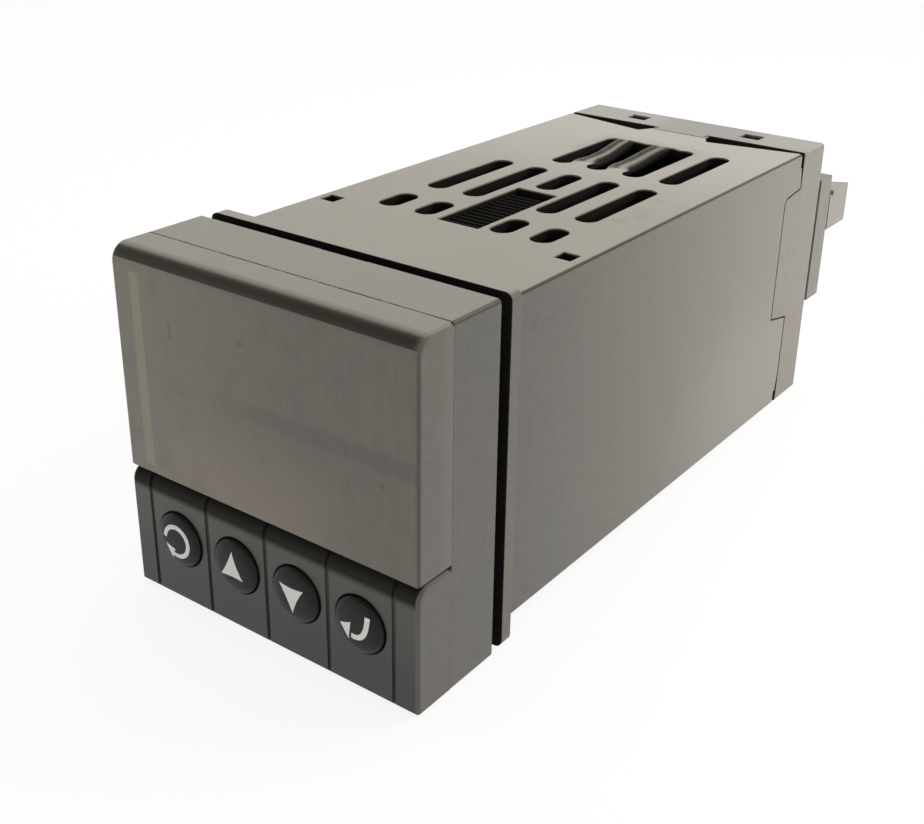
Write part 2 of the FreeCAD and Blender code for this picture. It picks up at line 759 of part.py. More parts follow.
def sleeve_openings():
    """Cutters for the vents, the rack window and the small corner holes of one wide face."""
    z = wide_face_z
    cutters = []
    for column in (-2, -1, 1, 2):
        x = vent_x + column * slot_pitch
        cutters.append(slot(x, front_slot_y, z, slot_width))
        cutters.append(slot(x, long_slot_y, z, slot_width))
    cutters.append(slot(vent_x, short_slot_y, z, slot_width))
    cutters += [slot(x, rear_slot_y, z, slot_width) for x in rear_slot_columns()]
    window_x = (rack_x - window_half_width, rack_x + window_half_width)
    cutters.append(box(window_x, window_y, z))
    for x in (-corner_hole_x, corner_hole_x):
        half = corner_hole_size / 2
        cutters.append(box((x - half, x + half), (corner_hole_y - half, corner_hole_y + half), z))
    return cutters


def retainer_sleeve():
    """The sleeve that slides on from the rear and clamps the panel with its flange."""
    flange = rounded_bar(flange_width, flange_width, flange_corner,
                         (panel_gap, panel_gap + flange_thickness))
    body = rounded_bar(sleeve_width, sleeve_height, sleeve_corner, (panel_gap, seam_y + over))
    shape = flange.fuse(body)
    shape = shape.cut(rounded_bar(sleeve_inner_width, sleeve_inner_height, case_corner,
                                  (panel_gap - over, seam_y + 2 * over)))
    channel = box((rack_x - window_half_width, rack_x + window_half_width),
                  (panel_gap - over, window_y[0] + weld), (wide_face_z[0], channel_top_z))
    cutters = []
    corners = both_sides(roof_notch()) + both_sides(side_notch())
    for cutter in sleeve_openings() + [channel] + corners:
        cutters += both_faces(cutter)
    cutters += [sagged_opening(), cover_region(seam_gap)]
    shape = shape.cut(cutters)
    return shape.fuse([sagged_web(*web) for web in web_shapes])


def neck(grow):
    """The part of the right-hand header that passes through the cover's back."""
    return box((neck_inner_x - grow, neck_outer_x + grow), (neck_front_y, header_front_y),
               (header_first_z - neck_wall - grow,
                header_first_z + header_ways * way_pitch + neck_wall + grow))


def rear_cover():
    """The cap that closes the sleeve, with tongues, latch windows and header openings."""
    y = (side_tongue_front_y - over, cover_rear_y)
    shell = rounded_bar(sleeve_width, sleeve_height, sleeve_corner, y)
    shell = shell.cut(rounded_bar(sleeve_inner_width, sleeve_inner_height, case_corner,
                                  (y[0] - over, cover_rear_y - cover_back)))
    shape = shell.common(cover_region(0))
    half = latch_window_width / 2
    latch = box((latch_window_x - half, latch_window_x + half), latch_window_y, wide_face_z)
    cutters = both_sides(neck(neck_clearance))
    for cutter in both_sides(latch):
        cutters += both_faces(cutter)
    return shape.cut(cutters).removeSplitter()


def terminal_header(side):
    """A strip of ways behind the cover, with a neck through the cover's back."""
    block = box((header_inner_x, header_outer_x), (header_front_y, header_rear_y),
                (header_low_z, header_high_z))
    block = break_edges(block, header_edge_break, lambda p: near(p.y, header_rear_y))
    cavity = box((header_inner_x + header_side_wall, header_outer_x - header_side_wall),
                 (header_floor_y, header_rear_y),
                 (header_first_z, header_first_z + header_ways * way_pitch))
    shape = block.cut(cavity).fuse(neck(0)).removeSplitter()
    bore = pin_size / 2 + pin_gap
    bores = [box((pin_x - bore, pin_x + bore), (neck_front_y, header_rear_y), (z - bore, z + bore))
             for z in way_zs]
    return on_side(shape.cut(bores), side)


def terminal_pins(side):
    """Square pins on the rear board, which stand in the header's ways."""
    half = pin_size / 2
    y = (rear_board_y + board_thickness, header_rear_y - pin_tip_gap)
    pins = [box((pin_x - half, pin_x + half), y, (z - half, z + half)) for z in way_zs]
    base = box((neck_inner_x, neck_outer_x), (y[0], y[0] + pin_base_depth),
               (way_zs[0] - way_pitch / 2, way_zs[-1] + way_pitch / 2))
    return on_side(base.fuse(pins).removeSplitter(), side)


def plug_ways(ways):
    """Centre heights of the ways that a plug fills."""
    first, count = ways
    return way_zs[first:first + count]


def well_frame():
    """Centre of the slanted face of a plug and its outward normal."""
    across = FreeCAD.Vector(header_outer_x - plug_slant_x, plug_rear_y - plug_shoulder_y, 0)
    normal = FreeCAD.Vector(-across.y, across.x, 0)
    normal.normalize()
    middle = FreeCAD.Vector((header_outer_x + plug_slant_x) / 2,
                            (plug_rear_y + plug_shoulder_y) / 2, 0)
    return middle, normal


def terminal_plug(side, ways):
    """A pull-off screw plug: nose, body with a slanted screw face, wire entries and wells."""
    zs = plug_ways(ways)
    z = (zs[0] - way_pitch / 2 + plug_clearance / 2, zs[-1] + way_pitch / 2 - plug_clearance / 2)
    face_y = header_rear_y + plug_face_gap
    outline = [(plug_inner_x, face_y), (header_outer_x, face_y), (header_outer_x, plug_rear_y),
               (plug_slant_x, plug_shoulder_y), (plug_inner_x, plug_shoulder_y)]
    body = roof_prism(outline, z)
    nose = box((header_inner_x + header_side_wall + plug_clearance,
                header_outer_x - header_side_wall - plug_clearance),
               (header_floor_y + plug_nose_gap, face_y), z)
    shape = body.fuse(nose).removeSplitter()
    bore = pin_size / 2 + pin_gap
    middle, normal = well_frame()
    cutters = [box((header_outer_x - plug_notch[0], header_outer_x),
                   (face_y, face_y + plug_notch[0]), (z[1] - plug_notch[1], z[1]))]
    entry_x = (plug_inner_x + plug_slant_x) / 2
    half = wire_entry_size / 2
    for way in zs:
        cutters.append(box((pin_x - bore, pin_x + bore), (header_floor_y, face_y + plug_bore_run),
                           (way - bore, way + bore)))
        cutters.append(box((entry_x - half, entry_x + half),
                           (plug_shoulder_y - wire_entry_depth, plug_shoulder_y),
                           (way - half, way + half)))
        centre = FreeCAD.Vector(middle.x, middle.y, way)
        cutters.append(Part.makeCylinder(well_radius, well_depth + over,
                                         centre - normal * well_depth, normal))
    return on_side(shape.cut(cutters), side)


def plug_screws(side, ways):
    """The clamp screws of a plug, each in its well."""
    middle, normal = well_frame()
    seats = [FreeCAD.Vector(middle.x, middle.y, way) - normal * well_depth
             for way in plug_ways(ways)]
    return on_side(Part.makeCompound([Part.makeCylinder(screw_radius, screw_head, seat, normal)
                                      for seat in seats]), side)


def build():
    """Every piece by its node name."""
    board_top = power_board_z + board_thickness
    parts = {
        "case_housing": case_housing(),
        "display_lens": display_lens(),
        "keypad_mat": keypad_mat(),
        "display_board": display_board(),
        "upper_display": digits(upper_digit_z),
        "lower_display": digits(lower_digit_z),
        "alarm_leds": alarm_leds(),
        "display_spacer": display_spacer(),
        "light_strip": light_strip(),
        "main_board": deck(main_board_z, deck_rear_y),
        "power_board": deck(power_board_z, deck_rear_y),
        "main_link": link(main_board_z),
        "power_link": link(power_board_z),
        "rear_board": rear_board(),
        "transformer_core": transformer_core(),
        "transformer_winding": transformer_winding(),
        "left_relay": relay(-1),
        "right_relay": relay(1),
        "filter_capacitor": capacitor(-capacitor_x, capacitor_y, capacitor_radius,
                                      capacitor_length, board_top),
        "output_capacitor": capacitor(capacitor_x, capacitor_y, small_capacitor_radius,
                                      small_capacitor_length, board_top),
        "processor_chip": processor_chip(),
        "retainer_sleeve": retainer_sleeve(),
        "rear_cover": rear_cover(),
        "right_header": terminal_header(1),
        "left_header": terminal_header(-1),
        "right_pins": terminal_pins(1),
        "left_pins": terminal_pins(-1),
        "right_plug": terminal_plug(1, right_plug_ways),
        "left_plug": terminal_plug(-1, left_plug_ways),
        "right_plug_screws": plug_screws(1, right_plug_ways),
        "left_plug_screws": plug_screws(-1, left_plug_ways),
    }
    for name, x in zip(key_names, key_xs):
        parts[name] = key(x)
    return parts


os.makedirs("parts", exist_ok=True)
for node, shape in build().items():
    shape.exportStep(f"parts/{node}.step")
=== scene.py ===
import math

import bmesh
import bpy
import numpy as np
from mathutils import Matrix, Vector


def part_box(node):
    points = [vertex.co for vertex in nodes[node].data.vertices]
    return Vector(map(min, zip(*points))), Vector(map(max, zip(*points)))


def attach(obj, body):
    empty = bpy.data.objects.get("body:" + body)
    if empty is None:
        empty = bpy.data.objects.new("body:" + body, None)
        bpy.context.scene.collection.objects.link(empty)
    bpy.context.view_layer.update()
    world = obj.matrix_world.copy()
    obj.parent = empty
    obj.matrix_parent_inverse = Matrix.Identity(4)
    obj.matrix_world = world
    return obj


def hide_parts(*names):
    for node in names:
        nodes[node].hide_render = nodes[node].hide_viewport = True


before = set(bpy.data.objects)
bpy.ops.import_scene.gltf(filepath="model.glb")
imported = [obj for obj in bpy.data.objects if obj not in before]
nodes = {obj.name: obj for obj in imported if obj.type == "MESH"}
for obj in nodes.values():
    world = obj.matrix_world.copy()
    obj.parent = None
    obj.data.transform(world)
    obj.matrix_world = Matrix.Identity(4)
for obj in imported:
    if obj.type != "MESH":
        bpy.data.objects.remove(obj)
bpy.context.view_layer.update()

# Looks of a panel-mounted PID temperature controller, in metres, in the frame of its CAD.
# The front faces -Y, +X is to the right seen from the front, and the panel face is at Y = 0.
# The housing, lens, sleeve, cover and terminals keep their CAD solids. The keys and their signs,
# the heat-softened webs of the sleeve and the screw heads are surfaces made here.

MM = 0.001


# ---- shader nodes as expressions ------------------------------------------------------


class Value:
    """A shader socket that takes part in arithmetic: each operator adds one Math node."""

    def __init__(self, shader, socket):
        self.shader = shader
        self.socket = socket

    def math(self, operation, *others):
        values = [self, *others]
        return self.shader.node("Math", {"operation": operation}, dict(enumerate(values)))

    def __add__(self, other):
        return self.math("ADD", other)

    def __sub__(self, other):
        return self.math("SUBTRACT", other)

    def __mul__(self, other):
        return self.math("MULTIPLY", other)

    def __truediv__(self, other):
        return self.math("DIVIDE", other)

    def __pow__(self, other):
        return self.math("POWER", other)

    def __rsub__(self, other):
        return self.shader.node("Math", {"operation": "SUBTRACT"}, {0: other, 1: self})

    def __abs__(self):
        return self.math("ABSOLUTE")

    __radd__ = __add__
    __rmul__ = __mul__

    def either(self, *others):
        """The largest of several masks."""
        largest = self
        for other in others:
            largest = largest.math("MAXIMUM", other)
        return largest

    def above(self, level, softness):
        """0 below the level, 1 above it, smooth across the softness."""
        return self.shader.node(
            "MapRange", {"interpolation_type": "SMOOTHSTEP"},
            {"Value": self, "From Min": level - softness / 2, "From Max": level + softness / 2})

    def below(self, level, softness):
        """1 below the level, 0 above it, smooth across the softness."""
        return 1 - self.above(level, softness)

    def between(self, low, high, softness):
        """1 between two levels and 0 outside them."""
        return self.above(low, softness) * self.below(high, softness)


class Shader:
    """One material, or a world where one is given, and the nodes in it.

    The place is a point of the object in metres. In a world it is the way that a ray goes.
    """

    def __init__(self, name, world=None):
        self.block = world or bpy.data.materials.new(name)
        self.block.use_nodes = True
        self.tree = self.block.node_tree
        self.tree.nodes.clear()
        self.place = self.node("TexCoord", output="Generated" if world else "Object")
        split = self.node("SeparateXYZ", {}, {0: self.place}).socket.node
        self.x, self.y, self.z = (Value(self, socket) for socket in split.outputs)

    def node(self, kind, settings=None, inputs=None, output=0):
        """Adds any node: first its settings, then the values or links of its sockets."""
        made = self.tree.nodes.new("ShaderNode" + kind)
        for key, value in (settings or {}).items():
            if key == "stops":
                for spare in list(made.color_ramp.elements)[1:]:
                    made.color_ramp.elements.remove(spare)
                made.color_ramp.elements[0].position = value[0][0]
                made.color_ramp.elements[0].color = (*value[0][1], 1)
                for position, colour in value[1:]:
                    made.color_ramp.elements.new(position).color = (*colour, 1)
            else:
                setattr(made, key, value)
        for key, value in (inputs or {}).items():
            if isinstance(value, Value):
                self.tree.links.new(value.socket, made.inputs[key])
            else:
                socket = made.inputs[key]
                wide = isinstance(value, tuple) and len(value) == 3 and socket.type == "RGBA"
                socket.default_value = (*value, 1) if wide else value
        return Value(self, made.outputs[output]) if made.outputs else None

    def mix(self, factor, first, second):
        """A colour between two colours; factor 0 gives the first."""
        return self.node("Mix", {"data_type": "RGBA"}, {0: factor, 6: first, 7: second},
                         output=2)

    def mix_values(self, factor, first, second):
        """A number between two numbers; factor 0 gives the first."""
        return self.node("Mix", {"data_type": "FLOAT"}, {0: factor, 2: first, 3: second})

    def noise(self, size, detail=2.0, roughness=0.5, stretch=(1, 1, 1)):
        """Noise from 0 to 1 whose grains are about the given size in metres."""
        where = self.node("Mapping", {}, {"Vector": self.place, "Scale": stretch})
        return self.node("TexNoise", {}, {"Vector": where, "Scale": 1 / size, "Detail": detail,
                                          "Roughness": roughness})

    def specks(self, spacing, size):
        """1 in a small round speck in each cell of the given spacing, 0 elsewhere."""
        reach = self.node("TexVoronoi", {}, {"Vector": self.place, "Scale": 1 / spacing})
        return reach.below(size / spacing, 0.3 * size / spacing)

    def scratches(self, spacing, along, width):
        """Thin broken lines: a stretched noise is 1 near its middle level and gated by another."""
        line = self.noise(spacing, 1.0, 0.4, along)
        gate = self.noise(spacing * 3, 1.0, 0.5)
        return abs(line - 0.5).below(width, width) * gate.above(0.6, 0.08)

    def mark(self, across, centre, size, softness):
        """1 inside a small soft rectangle about a centre, on two given axes."""
        (first, second), (w, h) = across, size
        return (abs(first - centre[0]).below(w / 2, softness)
                * abs(second - centre[1]).below(h / 2, softness))

    def bump(self, height, depth, edge=0.0):
        """A bump of a height from 0 to 1; edge rounds the look of sharp corners by a radius."""
        inputs = {"Height": height, "Distance": depth, "Strength": 1.0}
        if edge:
            inputs["Normal"] = self.node("Bevel", {"samples": 6}, {"Radius": edge})
        return self.node("Bump", {}, inputs)

    def ray(self, kind):
        """1 for rays of a kind, such as Camera or Glossy, and 0 for others."""
        return self.node("LightPath", output=f"Is {kind} Ray")

    def finish(self, hollow=None, **sockets):
        """A Principled shader with the given sockets, joined to the output.

        Where the hollow mask is 1, a dull black with little shine takes over; the masks mostly use
        it as painted shade in gaps, recesses, corners and under overhangs.
        """
        inputs = {key.replace("_", " "): value for key, value in sockets.items()}
        surface = self.node("BsdfPrincipled", {}, inputs)
        if hollow is not None:
            black = self.node("BsdfPrincipled", {}, {
                "Base Color": grey(0.011, 0.1), "Roughness": 0.9,
                "Specular IOR Level": 0.05})
            surface = self.node("MixShader", {}, {0: hollow, 1: surface, 2: black})
        self.node("OutputMaterial", {}, {"Surface": surface})
        return self.block


def grey(level, warmth=0.0):
    """A linear colour of a grey level, with a little more red than blue."""
    return (level * (1 + warmth), level * (1 + 0.35 * warmth), level * (1 - warmth))


# ---- sizes read from the frame ----------------------------------------------------------

bezel_low, bezel_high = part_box("case_housing")
lens_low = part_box("display_lens")[0]
sleeve_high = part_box("retainer_sleeve")[1]
cover_low, cover_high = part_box("rear_cover")
front_y = lens_low.y
lens_back_y = front_y + 6.1 * MM        # where the lens meets the bezel
half_bezel = bezel_high.x
bezel_corner_cut = 0.46 * MM            # a rounded corner stands back from the square by this
key_panel_y = front_y + 0.85 * MM       # the face round the keys
keypad_top_z = -8.6 * MM                # the lens ends above this
flange_front_y = 2.1 * MM
flange_rear_y = 4.1 * MM
flange_top_z = sleeve_high.z
sleeve_rear_y = sleeve_high.y
sleeve_top_z = cover_high.z
sleeve_side_x = cover_high.x
sleeve_gap = 1.6 * MM                   # from the sleeve's outside to the housing's skin
case_side_x = sleeve_side_x - sleeve_gap
case_top_z = sleeve_top_z - sleeve_gap
rack_x = 1.0 * MM
rack_half_width = 3.7 * MM
cover_front_y = 88.3 * MM               # the cover's front edge, behind the notches
vent_x = 0.65 * MM                      # the middle of the slot fields
slot_pitch = 6.32 * MM
web_width = slot_pitch - 3.5 * MM
web_front_y = 58.92 * MM                # where the softened webs leave the roof
web_length = 18.85 * MM


# ---- materials -----------------------------------------------------------------------------


plastic_level = 0.062       # the dark plastic's own grey, before haze and reflections
plastic_shine = 0.55
seam_black = grey(0.008)


def painted_top_light(s, cloud, base):
    """Painted light: the flat top of the bezel and of the lens is made paler and warmer, laid over
    a base colour.
    """
    top = s.z.above(half_bezel - 0.25 * MM, 0.2 * MM)
    return s.mix(top * (0.7 + 0.3 * cloud), base, grey(plastic_level * 2.5, 0.16))


def moulded(name, level, warmth=0.14, rough=0.36, edge=0.22 * MM):
    """Dark moulded plastic: fine spark grain, cloudy shade, faint scratches and dust."""
    s = Shader(name)
    cloud = s.noise(14 * MM, 3.0, 0.55)
    grain = s.noise(0.35 * MM, 2.0, 0.6)
    dust = s.specks(4.5 * MM, 0.07 * MM) * s.noise(9 * MM).above(0.54, 0.05)
    rubs = s.scratches(3.1 * MM, (1, 0.12, 0.5), 0.004)
    base = s.mix(cloud, grey(level * 0.88, warmth), grey(level * 1.14, warmth))
    base = s.mix(grain * 0.3, base, grey(level * 1.4, warmth))
    mottle = s.noise(1.7 * MM, 4.0, 0.7)
    base = s.mix(mottle.above(0.5, 0.3) * 0.22, base, grey(level * 1.5, warmth))
    base = s.mix(mottle.below(0.42, 0.2) * 0.2, base, grey(level * 0.55, warmth))
    blush = s.noise(9 * MM, 3.0, 0.6, (1, 1, 0.45))
    base = s.mix(blush.above(0.55, 0.2) * 0.35, base, (level * 1.28, level * 1.02, level * 0.96))
    base = s.mix(blush.below(0.45, 0.2) * 0.3, base, (level * 0.98, level * 1.04, level * 0.84))
    base = s.mix(rubs * 0.2, base, grey(level * 1.8, warmth))
    base = s.mix(dust * 0.4, base, grey(0.4, 0.08))
    roughness = rough + 0.1 * (cloud - 0.5) + 0.08 * (grain - 0.5) - 0.06 * rubs
    return s, base, roughness, s.bump(grain, 0.012 * MM, edge)


def plain_moulded(name, level, **settings):
    """Moulded plastic with nothing more on it."""
    s, base, roughness, normal = moulded(name, level, **settings)
    return s.finish(Base_Color=base, Roughness=roughness, Normal=normal,
                    Specular_IOR_Level=plastic_shine)


def case_material():
    """The housing: moulded plastic, with a smoother dark film over the face round the keys,
    painted lighter towards its top and darker towards its bottom.

    Behind the bezel, painted shade stands for the sleeve's shade: the skin is a little dulled, and
    the rack and everything inside are nearly black. Painted shade also darkens the key holes, the
    keypad's top rounding under the lens and the bezel's rounded corners; painted light lightens
    the floors of the grooves between the keys.
    """
    s, base, roughness, normal = moulded("case_plastic", plastic_level)
    cloud = s.noise(7 * MM, 2.0)
    base = painted_top_light(s, cloud, base)
    joint = abs(s.y - lens_back_y).below(0.1 * MM, 0.08 * MM)
    joint = joint * (0.2 + 0.5 * s.z.above(half_bezel - 0.5 * MM, 0.3 * MM))
    base = s.mix(joint, base, seam_black)

    inside = abs(s.x).below(half_bezel - 0.45 * MM, 0.12 * MM)
    block = inside * s.y.below(front_y + 5 * MM, 0.2 * MM) * s.z.below(-6 * MM, 0.4 * MM)
    groove = s.y.above(key_panel_y + 0.12 * MM, 0.08 * MM)
    face = s.mix(cloud, (0.018, 0.0185, 0.015), (0.029, 0.03, 0.0245))
    # painted light and shade: the face round the keys is lighter towards the top and darker
    # towards the bottom
    face = s.mix(s.z.above(-14.5 * MM, 8 * MM) * 0.8, face, (0.05, 0.053, 0.043))
    face = s.mix(s.z.below(-19 * MM, 6 * MM) * 0.6, face, (0.006, 0.0065, 0.0045))
    # painted light: the floors of the grooves between the keys are lighter, to offset their shade
    face = s.mix(groove * 0.5, face, (0.03, 0.03, 0.026))
    base = s.mix(block, base, face)
    rough = s.mix_values(block, roughness, 0.36 + 0.06 * cloud)
    # painted shade: dull black on the keypad's top rounding under the lens and in the key holes
    rim = block * s.z.above(keypad_top_z - 0.3 * MM, 1.2 * MM)
    key_hole = block * s.y.above(key_panel_y + 0.45 * MM, 0.15 * MM)
    key_hole = key_hole * s.z.below(keypad_top_z, 0.3 * MM)

    # painted shade: dull black along the bezel's rounded corners
    corner = (abs(s.x) + abs(s.z)).above(2 * half_bezel - bezel_corner_cut, 0.05 * MM)
    # painted shade: nearly black behind the bezel, inside the sleeve, less so on the housing's
    # outer skin except at the rack
    behind = s.y.above(-0.12 * MM, 0.1 * MM)
    skin = abs(s.x).above(case_side_x - 0.06 * MM, 0.04 * MM).either(
        abs(s.z).above(case_top_z - 0.06 * MM, 0.04 * MM))
    rack = abs(s.x - rack_x).below(rack_half_width, 0.1 * MM)
    rack = rack * abs(s.z).above(case_top_z - 1 * MM, 0.1 * MM)
    shade = behind * (1 - skin * 0.75 * (1 - rack))
    hollow = shade.either(key_hole, rim * 0.85, corner * 0.5)
    return s.finish(hollow, Base_Color=base, Roughness=rough, Normal=normal,
                    Specular_IOR_Level=plastic_shine)


def lens_material():
    """Smoked lens: a hazy front film that stops short of the rounded, darker top edge.

    The film is painted lighter towards the left and below, as painted light, with a darker band
    between the two rows of digits, the pale strip behind it at the left, brush lines, nicks, a
    scratch and a smudge. A painted sheen lightens the sides towards the back, and painted shade
    darkens the front of the rounded side edges.
    """
    s, base, roughness, normal = moulded("lens_plastic", plastic_level * 1.12, edge=0.3 * MM)
    film_top = half_bezel - 1.45 * MM
    in_front = s.y.below(front_y + 0.3 * MM, 0.1 * MM)
    film = in_front * s.z.below(film_top, 0.12 * MM)
    film = film * abs(s.x).below(half_bezel - 0.3 * MM, 0.1 * MM)
    top_rim = s.y.below(front_y + 1.15 * MM, 0.9 * MM) * s.z.above(film_top, 0.15 * MM)
    top_rim = top_rim * abs(s.x).below(half_bezel - 0.6 * MM, 1.0 * MM)
    # painted shade: a dark band along the front of the rounded side edges
    side_rim = s.y.below(front_y + 0.3 * MM, 0.12 * MM)
    side_rim = side_rim * abs(s.x).above(half_bezel - 0.4 * MM, 0.1 * MM)
    cloud = s.noise(5 * MM, 3.0, 0.6)
    fine = s.noise(0.7 * MM, 2.0, 0.6)
    shade = s.mix(cloud, grey(0.085, 0.12), grey(0.114, 0.16))
    shade = s.mix(fine * 0.3, shade, grey(0.125, 0.13))
    # painted light: the film is lighter towards the left and below
    painted_light_left = s.x.below(-6 * MM, 34 * MM)
    shade = s.mix(painted_light_left * 0.55, shade, grey(0.17, 0.18))
    painted_light_low = s.z.below(1 * MM, 13 * MM) * abs(s.x + 3 * MM).below(13 * MM, 16 * MM)
    shade = s.mix(painted_light_low * 0.5, shade, (0.24, 0.19, 0.15))
    blotch = s.noise(3.2 * MM, 4.0, 0.6).above(0.6, 0.22)
    shade = s.mix(blotch * 0.2, shade, grey(0.05, 0.1))
    brushed = s.noise(0.5 * MM, 2.0, 0.6, (1, 1, 0.07)).above(0.58, 0.2)
    shade = s.mix(brushed * 0.16, shade, grey(0.16, 0.1))
    digit_gap = s.z.between(7.0 * MM, 9.3 * MM, 1.4 * MM) * s.x.above(-4 * MM, 16 * MM)
    shade = s.mix(digit_gap * 0.3, shade, grey(0.045, 0.08))
    strip = s.x.between(-20.75 * MM, -19.15 * MM, 0.35 * MM)
    strip = strip * s.z.between(-5 * MM, 21.2 * MM, 0.6 * MM)
    shade = s.mix(strip * 0.62, shade, (0.27, 0.23, 0.155))
    nick = s.specks(6 * MM, 0.2 * MM) * s.noise(11 * MM).above(0.57, 0.03)
    shade = s.mix(nick * 0.5, shade, grey(0.035))
    face = (s.x + 0.12 * s.z, s.z)
    scratch = s.mark(face, (-12.4 * MM, 15.0 * MM), (0.16 * MM, 2.2 * MM), 0.1 * MM)
    smudge = s.mark(face, (-0.2 * MM, 16.6 * MM), (0.9 * MM, 0.5 * MM), 0.5 * MM)
    dent = s.mark(face, (19.6 * MM, 5.2 * MM), (0.4 * MM, 0.5 * MM), 0.3 * MM)
    shade = s.mix(scratch * 0.7 + smudge * 0.4 + dent * 0.4, shade, grey(0.012))
    base = painted_top_light(s, cloud, base)
    joint = s.y.above(lens_back_y - 0.16 * MM, 0.1 * MM)
    gritty = s.noise(2.2 * MM, 3.0, 0.7).above(0.46, 0.16)
    joint = joint * (0.25 + 0.6 * s.z.above(half_bezel - 0.5 * MM, 0.3 * MM) * gritty)
    base = s.mix(joint, base, seam_black)
    side = abs(s.x).above(half_bezel - 0.15 * MM, 0.1 * MM)
    sheen = side * s.y.above(lens_back_y - 1.6 * MM, 1.5 * MM) * (1 - joint)
    base = s.mix(sheen * 0.5, base, (0.13, 0.1, 0.085))
    base = s.mix(top_rim * 0.85, base, (0.024, 0.019, 0.011))
    base = s.mix(side_rim * 0.6, base, grey(0.015))
    base = s.mix(film, base, shade)
    rough = s.mix_values(film, roughness, 0.3 + 0.1 * cloud)
    shut = joint * s.z.above(half_bezel - 0.5 * MM, 0.2 * MM)
    return s.finish(shut.either(top_rim * 0.35), Base_Color=base, Roughness=rough,
                    Normal=normal, Specular_IOR_Level=plastic_shine)


def sleeve_material():
    """The sleeve: moulded plastic, with a stain and rubbed places. Painted light makes it paler on
    top, to the rear, low down at the rear and a little on the flange.

    It is browned round the softened webs. Painted shade makes it dark inside, in the slots, on the
    flange's front, along its long top edges and along the seams.
    """
    s, base, roughness, normal = moulded("sleeve_plastic", plastic_level, edge=0.14 * MM)
    # painted light: paler towards the rear, and a little on the flange
    fade = s.y.above(46 * MM, 96 * MM)
    flange = s.y.below(flange_rear_y + 0.1 * MM, 0.1 * MM)
    top_edge = sleeve_top_z - 0.2 * MM + (flange_top_z - sleeve_top_z) * flange
    on_top = (abs(s.z) - top_edge).above(0, 0.2 * MM)
    lighter = (fade * 0.85).either(flange * 0.12)
    base = s.mix(lighter, base, grey(plastic_level * 2.6, 0.15))
    # painted light: the top is paler, more so towards the rear
    crown = s.mix(s.y.above(58 * MM, 46 * MM), grey(0.185, 0.16), grey(0.265, 0.1))
    base = s.mix(on_top * 0.95, base, crown)
    # painted light: paler low down at the rear
    low_rear = s.z.below(-4 * MM, 24 * MM) * s.y.above(58 * MM, 36 * MM)
    base = s.mix(low_rear * 0.5, base, grey(0.21, 0.08))
    stain = s.noise(2.6 * MM, 4.0, 0.7, (0.7, 1.2, 1)).above(0.56, 0.1)
    stain = stain * s.mark((s.x, s.y), (17.2 * MM, 43 * MM), (3 * MM, 13 * MM), 3 * MM) * on_top
    base = s.mix(stain * 0.35, base, (0.06, 0.035, 0.024))
    on_side = abs(s.x).above(sleeve_side_x - 0.2 * MM, 0.2 * MM)
    rubbed = s.noise(0.9 * MM, 3.0, 0.7, (1, 0.35, 1.6)).above(0.55, 0.1) * on_side
    rubbed = rubbed * (s.mark((s.y, s.z), (13 * MM, 17.6 * MM), (8 * MM, 1.4 * MM), 3 * MM)
                       + s.mark((s.y, s.z), (30 * MM, 10 * MM), (4 * MM, 1 * MM), 3 * MM))
    base = s.mix(rubbed * 0.5, base, grey(0.022, 0.1))
    # painted shade: dull black inside, in the slots, on the flange's front, along the long top
    # edges and on the rear seam
    within = abs(s.x).below(sleeve_side_x - 0.3 * MM, 0.1 * MM)
    under = abs(s.z).below(sleeve_top_z - 0.22 * MM, 0.2 * MM) * within
    front_gap = s.y.below(flange_front_y + 0.15 * MM, 0.1 * MM)
    corner = (abs(s.x) + abs(s.z)).above(sleeve_side_x + sleeve_top_z - 0.4 * MM, 0.05 * MM)
    corner = corner * s.y.above(flange_rear_y, 0.1 * MM)
    ragged = s.noise(1.6 * MM, 4.0, 0.65)
    browned = abs(s.x - 1.0 * MM).below(9.5 * MM, 5 * MM)
    browned = browned * s.y.between(66 * MM, 78 * MM, 5 * MM)
    browned = browned * s.z.above(sleeve_top_z - 2.2 * MM, 0.2 * MM)
    base = s.mix(browned * ragged.above(0.5, 0.25) * 0.3, base, (0.1, 0.085, 0.052))
    seam = s.y.above(sleeve_rear_y - 0.06 * MM, 0.05 * MM)
    hollow = under.either(front_gap, corner * 0.7, seam * 0.8)
    return s.finish(hollow, Base_Color=base, Roughness=roughness + 0.1 * browned, Normal=normal,
                    Specular_IOR_Level=plastic_shine)


def cover_material():
    """The rear cover: pale plastic, painted paler on its top as painted light, and dark on the
    faces that look into the seam and on its inside faces, as painted shade.
    """
    s, base, roughness, normal = moulded("cover_plastic", plastic_level * 2.2, edge=0.14 * MM)
    # painted light: the top is paler, most of all away from the middle
    on_top = abs(s.z).above(sleeve_top_z - 0.2 * MM, 0.2 * MM)
    outer = abs(s.x - 3 * MM).above(9 * MM, 6 * MM)
    base = s.mix(on_top * (0.35 + 0.6 * outer), base, grey(0.22, 0.1))
    # painted shade: dull black on the faces that look into the seam and on the inside faces
    inside = abs(s.x).below(sleeve_side_x - 0.07 * MM, 0.04 * MM)
    inside = inside * abs(s.z).below(sleeve_top_z - 0.07 * MM, 0.04 * MM)
    deep = abs(s.x).below(sleeve_side_x - 0.35 * MM, 0.2 * MM)
    deep = deep * abs(s.z).below(sleeve_top_z - 0.35 * MM, 0.2 * MM)
    deep = deep * s.y.below(cover_high.y - 0.4 * MM, 0.2 * MM)
    seam = inside * s.y.below(cover_front_y + 0.3 * MM, 0.3 * MM) * 0.93
    return s.finish(seam.either(deep * 0.75), Base_Color=base, Roughness=roughness,
                    Normal=normal, Specular_IOR_Level=plastic_shine)


